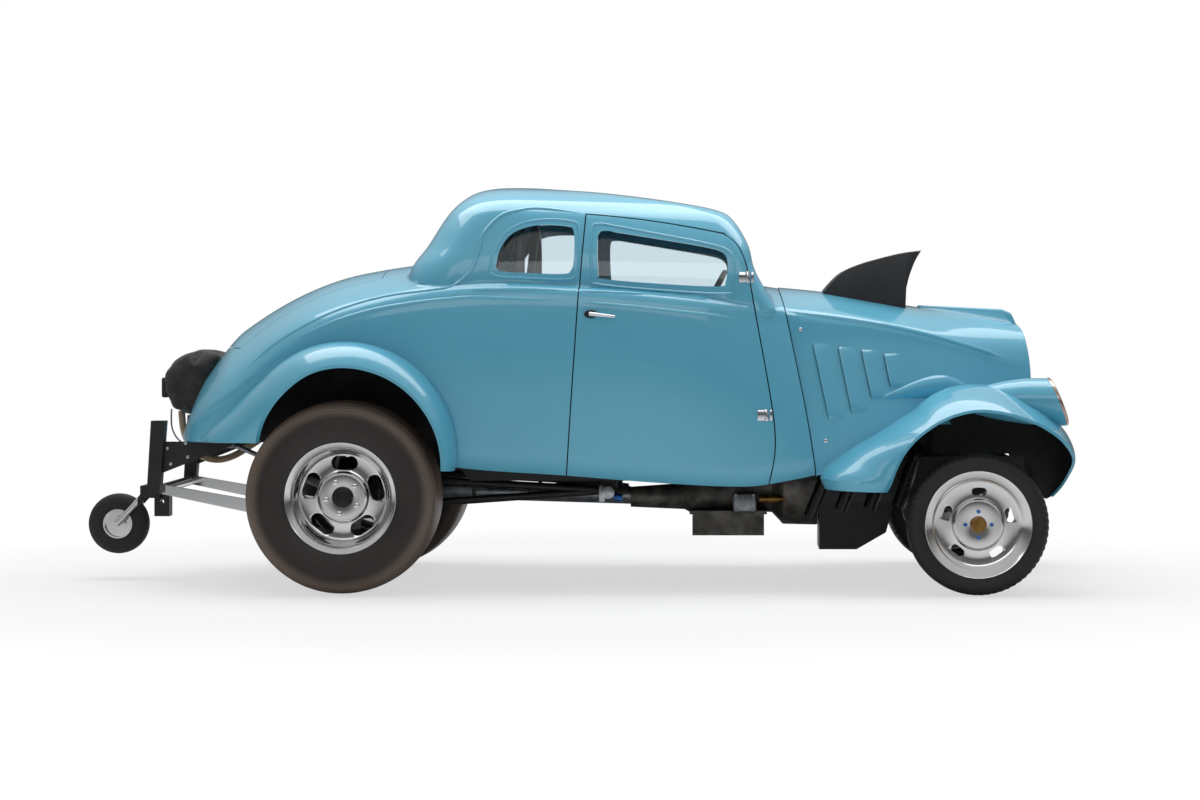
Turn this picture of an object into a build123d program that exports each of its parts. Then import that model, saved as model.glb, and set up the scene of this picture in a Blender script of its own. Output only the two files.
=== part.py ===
from build123d import *
import math
import os

# Drag racing car: a full-size 1930s three-window coupe raised on a straight front axle, with a
# one-piece tilting nose, wide rear slicks, a single-wheel wheelie bar and a parachute pack.
# Units are millimetres. +X is forward, +Y is the driver's left, +Z is up, and the origin is on
# the ground below the middle of the car.

# Driving dimensions
wheelbase = 2540.0
rear_axle_x = -884.0
roof_height = 1663.0
body_half_width = 690.0
panel_wall = 28.0
panel_gap = 6.0
seat_gap = 0.3
overrun = 40.0
wheel_outer_y = 790.0

# Wheels and tyres
rear_tyre_r = 391.0
rear_tyre_w = 340.0
rear_rim_r = 225.0
rear_rim_w = 300.0
rear_barrel_r = 186.0
rear_dish_depth = 92.0
front_tyre_r = 286.0
front_tyre_w = 168.0
front_rim_r = 216.0
front_rim_w = 132.0
front_barrel_r = 181.0
front_dish_depth = 30.0
rim_wall = 6.0
disc_wall = 16.0
hub_disc_r = 98.0
lug_pcd = 139.7
lug_hole_r = 7.0
hub_cap_r = 43.0
hub_boss_r = 60.0
wheelie_tyre_r = 128.0
wheelie_tyre_w = 84.0
wheelie_rim_r = 62.0
wheelie_shoulder = 12.0
rear_shoulder = 34.0
front_shoulder = 20.0
wheelie_bore_r = 10.3
wheelie_pin_r = 10.0

# Frame and running gear
rail_y = 360.0
rail_w = 60.0
rail_h = 100.0
rail_bottom_z = 440.0
kick_z = 612.0
kick_h = 88.0
rail_front_x = 1880.0
rail_rear_x = -1520.0
cross_tube_r = 24.0
axle_tube_r = 42.0
diff_r = 135.0
diff_half = 120.0
front_axle_r = 32.0
kingpin_y = 585.0
kingpin_r = 12.0
spindle_r = 22.0
driveshaft_r = 38.0
ladder_tube_r = 16.0
ladder_y = 275.0
tie_rod_r = 11.0
header_r = 27.0
header_wall = 3.0
cage_r = 22.0
floor_t = 8.0
glass_t = 5.0


def sx(share):
    """A place along the car: 0 at the rear axle, 1 at the front axle."""
    return rear_axle_x + share * wheelbase


def sy(share):
    """A half width, as a share of the body's half width."""
    return share * body_half_width


def sz(share):
    """A height, as a share of the roof's height."""
    return share * roof_height


front_axle_x = sx(1)


def both(piece):
    """The piece and its mirror image across the car's middle plane."""
    return Compound(children=[piece, mirror(piece, about=Plane.XZ)])


def tube(start, end, radius):
    """A round bar from one point to another."""
    axis = Vector(*end) - Vector(*start)
    plane = Plane(origin=start, z_dir=axis)
    return extrude(plane * Circle(radius), axis.length)


def bent_tube(points, radius, bends):
    """A round bar along straight runs joined by tangent arcs."""
    path = FilletPolyline(*points, radius=bends) if len(points) > 2 else Line(*points)
    start = Plane(origin=path @ 0, z_dir=path % 0)
    return sweep(start * Circle(radius), path=path, transition=Transition.ROUND)


def block(x0, x1, y0, y1, z0, z1):
    """A box between two corners."""
    size = (x1 - x0, y1 - y0, z1 - z0)
    middle = ((x0 + x1) / 2, (y0 + y1) / 2, (z0 + z1) / 2)
    return Pos(*middle) * Box(*size)


def largest(shape):
    """The main piece left by a cut."""
    return max(shape.solids(), key=lambda piece: piece.volume)


def side_prism(points, y0, y1):
    """A side-view outline, in X and Z, carried from one Y to another."""
    wire = Polyline(*[(x, 0, z) for x, z in points], close=True)
    face = make_face(wire)
    return Pos(0, y0, 0) * extrude(face, y1 - y0, dir=(0, 1, 0))


def on_shares(shares):
    """Side-view points from a table of X shares and Z shares."""
    return [(sx(x), sz(z)) for x, z in shares]


# Lower body
# Columns: place, sill half width and height, belt half width and height,
# shoulder half width and height, crown height. All are shares.
body_section_shares = [
    (-0.292, 0.28, 0.362, 0.30, 0.370, 0.28, 0.376, 0.392),
    (-0.280, 0.48, 0.362, 0.47, 0.380, 0.42, 0.398, 0.440),
    (-0.262, 0.62, 0.362, 0.59, 0.405, 0.52, 0.440, 0.512),
    (-0.230, 0.72, 0.362, 0.72, 0.445, 0.64, 0.485, 0.582),
    (-0.195, 0.80, 0.362, 0.81, 0.480, 0.74, 0.525, 0.641),
    (-0.095, 0.87, 0.362, 0.89, 0.600, 0.82, 0.640, 0.733),
    (0.006, 0.92, 0.350, 0.94, 0.672, 0.86, 0.706, 0.784),
    (0.175, 0.95, 0.306, 0.985, 0.713, 0.93, 0.746, 0.810),
    (0.352, 0.95, 0.286, 1.00, 0.709, 0.955, 0.742, 0.760),
    (0.520, 0.94, 0.266, 0.985, 0.686, 0.94, 0.722, 0.752),
    (0.640, 0.92, 0.259, 0.895, 0.664, 0.865, 0.700, 0.755),
    (0.702, 0.90, 0.272, 0.825, 0.655, 0.795, 0.690, 0.743),
    (0.760, 0.87, 0.290, 0.755, 0.650, 0.725, 0.683, 0.733),
]


def body_face(row, wall):
    """One cross-section of the lower body, shrunk by the wall on its sides and top."""
    place, sill_w, sill_z, belt_w, belt_z, bead_w, bead_z, crown = row
    bottom = sz(sill_z) - (overrun if wall else 0)
    side = [(sy(sill_w) - wall, bottom), (sy(belt_w) - wall, sz(belt_z))]
    side.append((sy(bead_w) - wall, sz(bead_z) - wall / 2))
    right = [(-y, z) for y, z in reversed(side)]
    top = (0, sz(crown) - wall)
    plane = Plane(origin=(sx(place), 0, 0), x_dir=(0, 1, 0), z_dir=(1, 0, 0))
    edges = [Line(side[0], side[1]), Line(side[1], side[2]), ThreePointArc(side[2], top, right[0])]
    edges += [Line(right[0], right[1]), Line(right[1], right[2]), Line(right[2], side[0])]
    return plane * make_face(Wire(edges))


def body_solid(wall):
    rows = body_section_shares[1:] if wall else body_section_shares
    if wall:
        first = list(body_section_shares[0])
        first[0] += wall / wheelbase
        second = list(body_section_shares[1])
        rows = [tuple(first), tuple(second)] + rows[1:]
    return loft([body_face(row, wall) for row in rows], ruled=True)


# Cab above the belt: columns are height, rear place, front place, rear and front half widths,
# and the share of the rear and front half widths used as corner radii
cab_section_shares = [
    (0.680, 0.085, 0.690, 0.93, 0.87, 0.30, 0.10),
    (0.780, 0.094, 0.652, 0.925, 0.87, 0.34, 0.11),
    (0.845, 0.122, 0.640, 0.90, 0.84, 0.36, 0.12),
    (0.905, 0.146, 0.618, 0.875, 0.76, 0.38, 0.16),
    (0.935, 0.160, 0.590, 0.85, 0.68, 0.40, 0.22),
    (0.960, 0.176, 0.510, 0.77, 0.60, 0.42, 0.30),
    (0.982, 0.196, 0.410, 0.60, 0.44, 0.45, 0.40),
    (0.995, 0.222, 0.320, 0.36, 0.24, 0.50, 0.50),
    (1.000, 0.255, 0.290, 0.10, 0.08, 0.50, 0.50),
]


def cab_face(row, wall):
    """One level of the cab: a rounded outline narrowing towards the windscreen."""
    level, rear, front, rear_w, front_w, rear_round, front_round = row
    rear_y = sy(rear_w) - wall
    front_y = sy(front_w) - wall
    rear_x = sx(rear) + wall
    front_x = sx(front) - wall
    corners = [(rear_x, -rear_y), (front_x, -front_y), (front_x, front_y), (rear_x, rear_y)]
    radii = [rear_round * rear_y, front_round * front_y, front_round * front_y, rear_round * rear_y]
    outline = FilletPolyline(*corners, radius=radii, close=True)
    return Pos(0, 0, sz(level) - wall * (0 if row is cab_section_shares[0] else 1)) * make_face(outline)


def cab_solid(wall):
    rows = cab_section_shares[:-2] if wall else cab_section_shares
    return loft([cab_face(row, wall) for row in rows], ruled=True)


# Outlines of the panels in the side view: place and height shares
door_rear_shares = [(0.352, 0.20), (0.353, 0.29), (0.366, 0.581), (0.374, 0.764), (0.382, 0.920)]
door_front_shares = [
    (0.600, 0.872), (0.618, 0.852), (0.632, 0.815), (0.641, 0.759), (0.652, 0.665), (0.665, 0.556),
    (0.675, 0.467), (0.681, 0.398), (0.681, 0.338), (0.674, 0.280), (0.660, 0.20),
]
door_window_shares = [
    (0.402, 0.775), (0.410, 0.762), (0.503, 0.750), (0.592, 0.744), (0.604, 0.756), (0.607, 0.804),
    (0.598, 0.828), (0.568, 0.841), (0.503, 0.858), (0.438, 0.874), (0.412, 0.879), (0.401, 0.866),
]
quarter_window_shares = [
    (0.245, 0.782), (0.241, 0.807), (0.248, 0.842), (0.264, 0.872), (0.290, 0.889), (0.319, 0.894),
    (0.350, 0.891), (0.362, 0.878), (0.363, 0.812), (0.358, 0.782), (0.345, 0.774), (0.297, 0.776),
]
roof_line_shares = [
    (0.070, 0.750), (0.162, 0.750), (0.192, 0.775), (0.214, 0.843), (0.228, 0.900), (0.246, 0.917),
    (0.279, 0.932), (0.311, 0.935), (0.372, 0.925), (0.386, 0.850), (0.80, 0.850), (0.80, 1.20),
    (0.070, 1.20),
]
seam_shares = [(0.693, 0.737), (0.702, 0.673), (0.715, 0.577), (0.730, 0.465), (0.741, 0.370), (0.748, 0.297)]
windscreen_half_w = 470.0
windscreen_low_z = 1272.0
windscreen_high_z = 1408.0
rear_window_half_w = 250.0
rear_window_low_z = 1395.0
rear_window_high_z = 1500.0
deck_half_w = 400.0
door_inner_y = 508.0
lid_half_w = 385.0
lid_top_x = -770.0
lid_low_z = 990.0
lid_hinge_x = -767.0
lid_hinge_z = 1320.0
lid_hinge_y = 140.0
lid_barrel_r = 9.0
lid_pin_r = 5.0
lid_barrel_w = 24.0
lid_leaf = 32.0
lid_leaf_t = 20.0

# Wheel openings: centres and radii of the arches in the side view
rear_arch_x = sx(0.0055)
rear_arch_z = sz(0.301)
rear_tub_r = 430.0
rear_tub_wall = 6.0
rear_tub_y = 424.0


def shift(points, dx, dz):
    return [(x + dx, z + dz) for x, z in points]


def door_outline(grow):
    """The door's side-view outline, grown by the gap round it."""
    rear = shift(on_shares(door_rear_shares), -grow, 0)
    front = shift(on_shares(door_front_shares), grow, 0)
    rear[-1] = (rear[-1][0], rear[-1][1] + grow)
    front[0] = (front[0][0], front[0][1] + grow)
    return rear + front


def nose_side(offset):
    """The slanted seam between body and nose, closed far ahead of the car."""
    seam = shift(on_shares(seam_shares), offset, 0)
    first, last = seam[0], seam[-1]
    top = (first[0] - (sz(1) - first[1]) * (last[0] - first[0]) / (first[1] - last[1]), sz(1))
    low = (last[0], 0)
    far = sx(2)
    return [top] + seam + [low, (far, 0), (far, sz(1))]


outer_body = body_solid(0)
inner_body = body_solid(panel_wall)
outer_cab = cab_solid(0)
inner_cab = cab_solid(panel_wall)
outer_shape = outer_body + outer_cab
inner_shape = inner_body + inner_cab
full_y = 2 * body_half_width


def lid_hinges():
    """Two outside hinges: a bored barrel and leaf on the lid, a pin and its two lugs on the deck."""
    half = lid_barrel_w / 2
    x, z = lid_hinge_x, lid_hinge_z
    on_lid = tube((x, lid_hinge_y - half, z), (x, lid_hinge_y + half, z), lid_barrel_r)
    on_lid += block(x - lid_leaf, x, lid_hinge_y - half, lid_hinge_y + half, z - lid_leaf_t, z)
    on_lid -= tube((x, 0, z), (x, 2 * lid_hinge_y, z), lid_pin_r + seat_gap)
    on_deck = tube((x, lid_hinge_y - lid_barrel_w, z), (x, lid_hinge_y + lid_barrel_w, z), lid_pin_r)
    for side in (-1, 1):
        near = lid_hinge_y + side * (half + seat_gap)
        far = lid_hinge_y + side * lid_barrel_w
        low, high = sorted((near, far))
        on_deck += tube((x, low, z), (x, high, z), lid_barrel_r)
        on_deck += block(x, x + lid_leaf, low, high, z - lid_leaf_t, z)
    return both(on_lid), both(on_deck)


def body_panels():
    """The coupe's shell, split at its real seams."""
    shell = outer_shape - inner_shape
    shell -= side_prism(nose_side(-panel_gap), -full_y, full_y)
    door_cut = both(side_prism(door_outline(panel_gap), door_inner_y, full_y))
    door_keep = side_prism(door_outline(0), door_inner_y, full_y)
    window = both(side_prism(on_shares(door_window_shares), door_inner_y, full_y))
    quarter_window = both(side_prism(on_shares(quarter_window_shares), sy(0.30), full_y))
    roof_prism = side_prism(on_shares(roof_line_shares), -full_y, full_y)
    windscreen = block(sx(0.5), sx(0.9), -windscreen_half_w, windscreen_half_w, windscreen_low_z, windscreen_high_z)
    rear_window = block(sx(-0.1), sx(0.3), -rear_window_half_w, rear_window_half_w, rear_window_low_z, rear_window_high_z)
    rest = shell - door_cut - windscreen - rear_window - quarter_window
    roof = rest & roof_prism
    lower = rest - roof_prism
    doors_y = door_keep - window
    left_door = shell & doors_y
    arch = Pos(rear_arch_x, 0, rear_arch_z) * Rot(90, 0, 0) * Cylinder(rear_tub_r, full_y * 2)
    below_arch = block(rear_arch_x - rear_tub_r, rear_arch_x + rear_tub_r, -full_y, full_y, 0, rear_arch_z)
    sides = block(sx(-0.5), sx(0.5), deck_half_w, full_y, 0, sz(1))
    quarter = (lower & sides) - arch - below_arch
    middle = lower & block(sx(-0.5), sx(0.3), -deck_half_w, deck_half_w, 0, sz(1))
    lid_zone = block(sx(-0.5), lid_top_x, -lid_half_w, lid_half_w, lid_low_z, sz(1))
    gap_zone = block(
        sx(-0.5), lid_top_x + panel_gap, -lid_half_w - panel_gap, lid_half_w + panel_gap,
        lid_low_z - panel_gap, sz(1))
    on_lid, on_deck = lid_hinges()
    lid = (middle & lid_zone) + on_lid
    tail = (middle - gap_zone) + on_deck
    cowl = lower & block(sx(0.5), sx(1), -full_y, full_y, 0, sz(1))
    return {"roof_panel": roof, "quarter": quarter, "left_door": left_door, "deck_lid": lid,
            "tail_panel": tail, "cowl_panel": cowl}



# Nose: a one-piece tilting front. Columns: place, crown height, bead half width and height,
# lower half width and height. All are shares.
nose_section_shares = [
    (0.680, 0.749, 0.795, 0.688, 0.905, 0.270),
    (0.761, 0.737, 0.700, 0.673, 0.860, 0.290),
    (0.840, 0.718, 0.610, 0.656, 0.770, 0.370),
    (0.919, 0.699, 0.510, 0.632, 0.660, 0.400),
    (0.998, 0.680, 0.400, 0.600, 0.540, 0.400),
    (1.057, 0.665, 0.325, 0.572, 0.430, 0.360),
    (1.120, 0.645, 0.240, 0.545, 0.320, 0.330),
]
nose_front_shares = [(1.086, 0.700), (1.091, 0.659), (1.101, 0.622), (1.109, 0.515), (1.106, 0.330), (1.106, 0.20)]
peak_shares = [(0.926, 0.60), (0.926, 0.702), (1.067, 0.692), (1.083, 0.682), (1.091, 0.655), (1.091, 0.60)]
nose_wall = 12.0
peak_half_w = 34.0
grille_half_w = 118.0
grille_low_z = 640.0
grille_high_z = 960.0
grille_bar_r = 5.0
grille_bars = 11
grille_rail = 10.0


def nose_face(row, wall):
    place, crown, bead_w, bead_z, low_w, low_z = row
    low = (sy(low_w) - wall, sz(low_z) - (overrun if wall else 0))
    bead = (sy(bead_w) - wall, sz(bead_z) - wall / 2)
    top = (0, sz(crown) - wall)
    plane = Plane(origin=(sx(place), 0, 0), x_dir=(0, 1, 0), z_dir=(1, 0, 0))
    edges = [Line(low, bead), ThreePointArc(bead, top, (-bead[0], bead[1]))]
    edges += [Line((-bead[0], bead[1]), (-low[0], low[1])), Line((-low[0], low[1]), low)]
    return plane * make_face(Wire(edges))


def nose_front(offset):
    """Everything behind the sloping front of the nose."""
    return shift(on_shares(nose_front_shares), offset, 0) + [(0, sz(0.20)), (0, sz(0.70))]


outer_nose = loft([nose_face(row, 0) for row in nose_section_shares], ruled=True)
inner_nose = loft([nose_face(row, nose_wall) for row in nose_section_shares], ruled=True)


# Louvres pressed out of each side: the rear edge's top and bottom place and height shares
louvre_shares = [
    (0.7441, 0.605, 0.7689, 0.420), (0.7850, 0.597, 0.8059, 0.436), (0.8228, 0.590, 0.8390, 0.470),
    (0.8598, 0.580, 0.8701, 0.498),
]
louvre_out = 11.0
louvre_l = 74.0


def nose_side_y(x, z):
    """Where the nose's left side lies at a place and a height."""
    share = (x - rear_axle_x) / wheelbase
    for a, b in zip(nose_section_shares, nose_section_shares[1:]):
        if a[0] <= share <= b[0]:
            part = (share - a[0]) / (b[0] - a[0])
            place, crown, bead_w, bead_z, low_w, low_z = [low + (high - low) * part for low, high in zip(a, b)]
    up = (z - sz(low_z)) / (sz(bead_z) - sz(low_z))
    return sy(low_w) + (sy(bead_w) - sy(low_w)) * up


def louvres():
    """Wedges that stand out at their rear edge and run into the side ahead of it."""
    wedges = []
    for top_x, top_z, low_x, low_z in louvre_shares:
        faces = []
        for x, z in ((sx(top_x), sz(top_z)), (sx(low_x), sz(low_z))):
            front = x + louvre_l
            near, far = nose_side_y(x, z), nose_side_y(front, z)
            points = [(x, near + louvre_out, z), (front, far, z), (front, far - nose_wall / 2, z),
                      (x, near - nose_wall / 2, z)]
            faces.append(make_face(Polyline(*points, close=True)))
        wedges.append(loft(faces, ruled=True))
    return wedges


def hood_shell():
    outer = outer_nose & side_prism(nose_front(0), -full_y, full_y)
    outer += side_prism(on_shares(peak_shares), -peak_half_w, peak_half_w)
    inner = inner_nose & side_prism(nose_front(-nose_wall), -full_y, full_y)
    shell = (outer - inner) & side_prism(nose_side(0), -full_y, full_y)
    far = sx(1.2)
    mouth = block(sx(1.02), far, -grille_half_w, grille_half_w, grille_low_z, grille_high_z)
    for wedge in louvres():
        shell = shell + wedge + mirror(wedge, about=Plane.XZ)
    return shell - mouth


def nose_front_x(level):
    """Where the nose's sloping front lies at a height."""
    points = on_shares(nose_front_shares)
    for (x0, z0), (x1, z1) in zip(points, points[1:]):
        if z1 <= level <= z0:
            return x0 + (x1 - x0) * (z0 - level) / (z0 - z1)
    return points[-1][0]


def grille():
    """Upright bars between a top and a bottom rail, set in the nose's mouth."""
    inset = nose_wall / 2
    low = (nose_front_x(grille_low_z) - inset, grille_low_z + grille_rail / 2)
    high = (nose_front_x(grille_high_z) - inset, grille_high_z - grille_rail / 2)
    solid = None
    for x, z in (low, high):
        rail = block(x - grille_rail, x, -grille_half_w, grille_half_w, z - grille_rail / 2, z + grille_rail / 2)
        solid = rail if solid is None else solid + rail
    pitch = 2 * grille_half_w / (grille_bars + 1)
    for index in range(grille_bars):
        y = -grille_half_w + pitch * (index + 1)
        back = grille_rail / 2
        solid += tube((low[0] - back, y, low[1]), (high[0] - back, y, high[1]), grille_bar_r)
    return solid


# Fenders: bands round an arch. Columns: angle, then radius and half-width shares of the edge on
# the body, of the crest and of the lip. Radii are shares of the arch's radius.
rear_fender_arch_r = 388.0
rear_fender_z = 535.0
front_fender_arch_r = 345.0
front_fender_z = 400.0
fender_wall = 10.0
rear_fender_shares = [
    (-5, 1.110, 0.93, 1.09, 1.09, 1.030, 1.15), (14, 1.134, 0.93, 1.11, 1.11, 1.022, 1.18),
    (33, 1.156, 0.92, 1.13, 1.11, 1.008, 1.19), (53, 1.186, 0.91, 1.15, 1.11, 1.002, 1.20),
    (75, 1.203, 0.90, 1.165, 1.11, 0.997, 1.20), (93, 1.220, 0.89, 1.175, 1.10, 0.998, 1.20),
    (110, 1.227, 0.87, 1.18, 1.08, 0.990, 1.19), (128, 1.215, 0.84, 1.17, 1.05, 0.960, 1.17),
    (140, 1.228, 0.80, 1.19, 1.00, 0.950, 1.15), (157, 1.355, 0.74, 1.29, 0.92, 0.945, 1.10),
    (172, 1.625, 0.66, 1.50, 0.83, 0.935, 1.05), (178, 1.700, 0.64, 1.56, 0.81, 0.930, 1.03),
]
front_fender_shares = [
    (-4, 0.980, 0.50, 1.000, 0.56, 0.985, 0.62), (9, 1.150, 0.50, 1.165, 0.62, 1.150, 0.74),
    (19, 1.240, 0.47, 1.275, 0.72, 1.235, 0.92), (30, 1.250, 0.42, 1.300, 0.80, 1.200, 1.06),
    (45, 1.210, 0.34, 1.275, 0.84, 1.120, 1.12), (60, 1.170, 0.32, 1.242, 0.86, 1.050, 1.15),
    (75, 1.165, 0.38, 1.242, 0.88, 1.012, 1.16), (90, 1.165, 0.42, 1.242, 0.88, 1.000, 1.16),
    (105, 1.155, 0.48, 1.240, 0.88, 0.987, 1.16), (117, 1.140, 0.52, 1.220, 0.88, 0.982, 1.16),
    (129, 1.140, 0.56, 1.200, 0.86, 0.985, 1.16), (149, 1.300, 0.66, 1.342, 0.84, 1.005, 1.14),
    (164, 1.600, 0.76, 1.620, 0.86, 1.020, 1.11), (173, 1.800, 0.82, 1.820, 0.90, 1.040, 1.09),
    (178, 1.740, 0.82, 1.760, 0.90, 1.080, 1.08),
]


def fender_band(rows, centre, arch_r):
    faces = []
    for angle, edge_r, edge_w, crest_r, crest_w, lip_r, lip_w in rows:
        turn = math.radians(angle)
        plane = Plane(origin=centre, x_dir=(math.cos(turn), 0, math.sin(turn)),
                      z_dir=(-math.sin(turn), 0, math.cos(turn)))
        edge = (arch_r * edge_r, sy(edge_w))
        crest = (arch_r * crest_r, sy(crest_w))
        lip = (arch_r * lip_r, sy(lip_w))
        edge_in = (edge[0] - fender_wall, edge[1])
        crest_in = (crest[0] - fender_wall, crest[1] - fender_wall / 2)
        lip_in = (lip[0] - fender_wall / 2, lip[1] - fender_wall)
        edges = [ThreePointArc(edge, crest, lip), Line(lip, lip_in)]
        edges += [ThreePointArc(lip_in, crest_in, edge_in), Line(edge_in, edge)]
        faces.append(plane * make_face(Wire(edges)))
    return loft(faces, ruled=True)


def rear_fender():
    centre = (rear_arch_x, 0, rear_fender_z)
    band = fender_band(rear_fender_shares, centre, rear_fender_arch_r) - outer_body
    behind = rear_arch_x
    return band - block(sx(-0.5), behind, 0, full_y, 0, sz(0.366))


# Headlamps faired into the front fenders
lamp_x = 1992.0
lamp_y = 560.0
lamp_z = 769.0
lamp_r = 104.0
lamp_lean = 22.0
lamp_depth = 26.0
pod_tail_x = 1640.0
pod_tail_z = 765.0
pod_tail_y = 520.0
pod_tail_r = 46.0


def lamp_plane(forward):
    """The headlamp's leaning front plane, some way ahead of the pod."""
    plane = Plane(origin=(lamp_x, lamp_y, lamp_z), z_dir=(1, 0, math.tan(math.radians(lamp_lean))))
    return plane.offset(forward)


# Aprons: the upright inner wall of each front wheel's well. Angles and radius shares of the edge
# under the fender, then the lower edge's places and heights in shares.
apron_arc_shares = [
    (-4, 0.972), (9, 1.133), (19, 1.230), (30, 1.255), (45, 1.226), (60, 1.190), (75, 1.190), (90, 1.190),
    (105, 1.178), (112, 1.165),
]
apron_low_shares = [
    (0.939, 0.440), (0.939, 0.332), (1.094, 0.332), (1.109, 0.228), (1.124, 0.220),
]
apron_y = 398.0
apron_t = 6.0


def apron():
    points = []
    for angle, share in apron_arc_shares:
        turn = math.radians(angle)
        reach = front_fender_arch_r * share
        points.append((front_axle_x + reach * math.cos(turn), front_fender_z + reach * math.sin(turn)))
    return side_prism(points + on_shares(apron_low_shares), apron_y, apron_y + apron_t)


def front_fender():
    centre = (front_axle_x, 0, front_fender_z)
    band = fender_band(front_fender_shares, centre, front_fender_arch_r) + apron()
    tail = Plane(origin=(pod_tail_x, pod_tail_y, pod_tail_z), z_dir=(1, 0, 0))
    pod = loft([tail * Circle(pod_tail_r), lamp_plane(0) * Circle(lamp_r)], ruled=True)
    hollow = Plane(origin=(pod_tail_x, pod_tail_y, pod_tail_z), z_dir=(1, 0, 0)).offset(fender_wall)
    inner = loft([hollow * Circle(pod_tail_r - fender_wall),
                  lamp_plane(overrun) * Circle(lamp_r - fender_wall)], ruled=True)
    return largest((band + pod) - inner - outer_nose)


def headlamp():
    shell = extrude(lamp_plane(seat_gap) * Circle(lamp_r), lamp_depth)
    front = shell.faces().filter_by(GeomType.PLANE).sort_by(Axis.X)[-1]
    return fillet(front.edges(), lamp_depth / 2)


# Scoop on the hood: a shark-fin side view, open at the front
scoop_half_w = 150.0
scoop_wall = 8.0
scoop_shares = [
    (0.766, 0.60), (0.766, 0.735), (0.780, 0.761), (0.799, 0.787), (0.826, 0.805), (0.857, 0.819),
    (0.895, 0.833), (0.929, 0.840), (0.919, 0.814), (0.910, 0.779), (0.904, 0.744), (0.900, 0.60),
]


def scoop():
    outer = side_prism(on_shares(scoop_shares), -scoop_half_w, scoop_half_w)
    inside = shift(on_shares(scoop_shares), scoop_wall, -scoop_wall)
    reach = sx(1.0)
    inside = [inside[0]] + inside[1:7] + [(reach, inside[6][1]), (reach, inside[0][1])]
    inner = side_prism(inside, scoop_wall - scoop_half_w, scoop_half_w - scoop_wall)
    return outer - inner - outer_nose


# Wheels. Each is made about the Y axis with its outer face towards -Y.
def wheel_tyre(radius, width, bead_r, bead_w, shoulder):
    """A tyre's ring, from bead to bead over the sidewalls and tread."""
    half, bead_half = width / 2, bead_w / 2
    tread_r = radius - shoulder / 3
    outline = [
        ThreePointArc((bead_r, -bead_half), ((bead_r + tread_r) / 2, -half), (tread_r, -half + shoulder)),
        ThreePointArc((tread_r, -half + shoulder), (radius, 0), (tread_r, half - shoulder)),
        ThreePointArc((tread_r, half - shoulder), ((bead_r + tread_r) / 2, half), (bead_r, bead_half)),
        Line((bead_r, bead_half), (bead_r, -bead_half)),
    ]
    face = make_face(Wire(outline))
    return revolve(face, axis=Axis.Y)


def wheel_rim(radius, width, barrel_r, dish, boss_end, bore, slot_r, slot_w, slot_h, first_slot):
    """A slotted wheel: a barrel with two lips, a disc set back by the dish, a hub and its bore."""
    half = width / 2
    lip = (radius - barrel_r) / 2
    disc_y = -half + dish
    section = Polyline(
        (radius - rim_wall, -half), (radius, -half), (radius, -half + lip), (barrel_r + rim_wall, -half + 2 * lip),
        (barrel_r + rim_wall, half - 2 * lip), (radius, half - lip), (radius, half),
        (radius - rim_wall, half), (barrel_r, half - 2 * lip), (barrel_r, disc_y + disc_wall),
        (hub_boss_r, disc_y + disc_wall), (hub_boss_r, boss_end), (bore, boss_end),
        (bore, disc_y - disc_wall), (hub_disc_r - disc_wall / 2, disc_y - disc_wall), (hub_disc_r, disc_y),
        (barrel_r, disc_y), (barrel_r, -half + 2 * lip), close=True)
    rim = revolve(make_face(section), axis=Axis.Y)
    slot = SlotOverall(slot_w, slot_h) if slot_w > slot_h else Circle(slot_h / 2)
    for index in range(5):
        turn = first_slot + index * 72
        plane = Plane(origin=(0, disc_y - overrun, 0), x_dir=(1, 0, 0), z_dir=(0, 1, 0))
        at = plane * Rot(0, 0, turn) * Pos(0, slot_r) * slot
        rim -= extrude(at, 2 * overrun + disc_wall)
    return rim


def wheel_at(shape, x, z, y, side):
    """Put a wheel in place: side -1 is the right, 1 the left."""
    placed = Pos(x, -y, z) * shape
    return placed if side < 0 else mirror(placed, about=Plane.XZ)


rear_wheel_y = wheel_outer_y - rear_tyre_w / 2
front_wheel_y = wheel_outer_y - front_tyre_w / 2
axle_end_y = 452.0
spindle_end_y = 738.0
hub_inner_y = 650.0
first_slot = 16
slot_rear = (137.0, 98.0, 56.0)
slot_front = (131.0, 60.0, 32.0)


# Chassis
def frame_rails():
    low = [(rail_rear_x, kick_z), (sx(0.13), kick_z), (sx(0.19), rail_bottom_z), (rail_front_x, rail_bottom_z)]
    high = [(rail_front_x, rail_bottom_z + rail_h), (sx(0.205), rail_bottom_z + rail_h)]
    high += [(sx(0.145), kick_z + kick_h), (rail_rear_x, kick_z + kick_h)]
    rail = side_prism(low + high, rail_y - rail_w / 2, rail_y + rail_w / 2)
    return both(rail)


# Columns: place share, 1 where the rails are kicked up over the axle
cross_member_shares = [(-0.165, 1), (0.08, 1), (0.26, 0), (0.415, 0), (0.66, 0), (1.055, 0)]
cross_depth = 32.0
strap_lug_w = 18.0
bracket_t = 14.0
rod_end_w = 34.0
rod_end_z = 394.0
rod_end_h = 22.0
ladder_front_x = sx(0.415)
pivot_x = 1905.0
pivot_z = 420.0
pivot_pin_r = 10.0
pivot_bore_r = 10.3
pivot_ear_y = 163.0
pivot_ear_t = 15.0
pivot_lug_y = 184.0
pivot_lug_t = 12.0
pivot_ear_reach = 12.0
pivot_bar_w = 16.0
pivot_bar_h = 50.0


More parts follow.
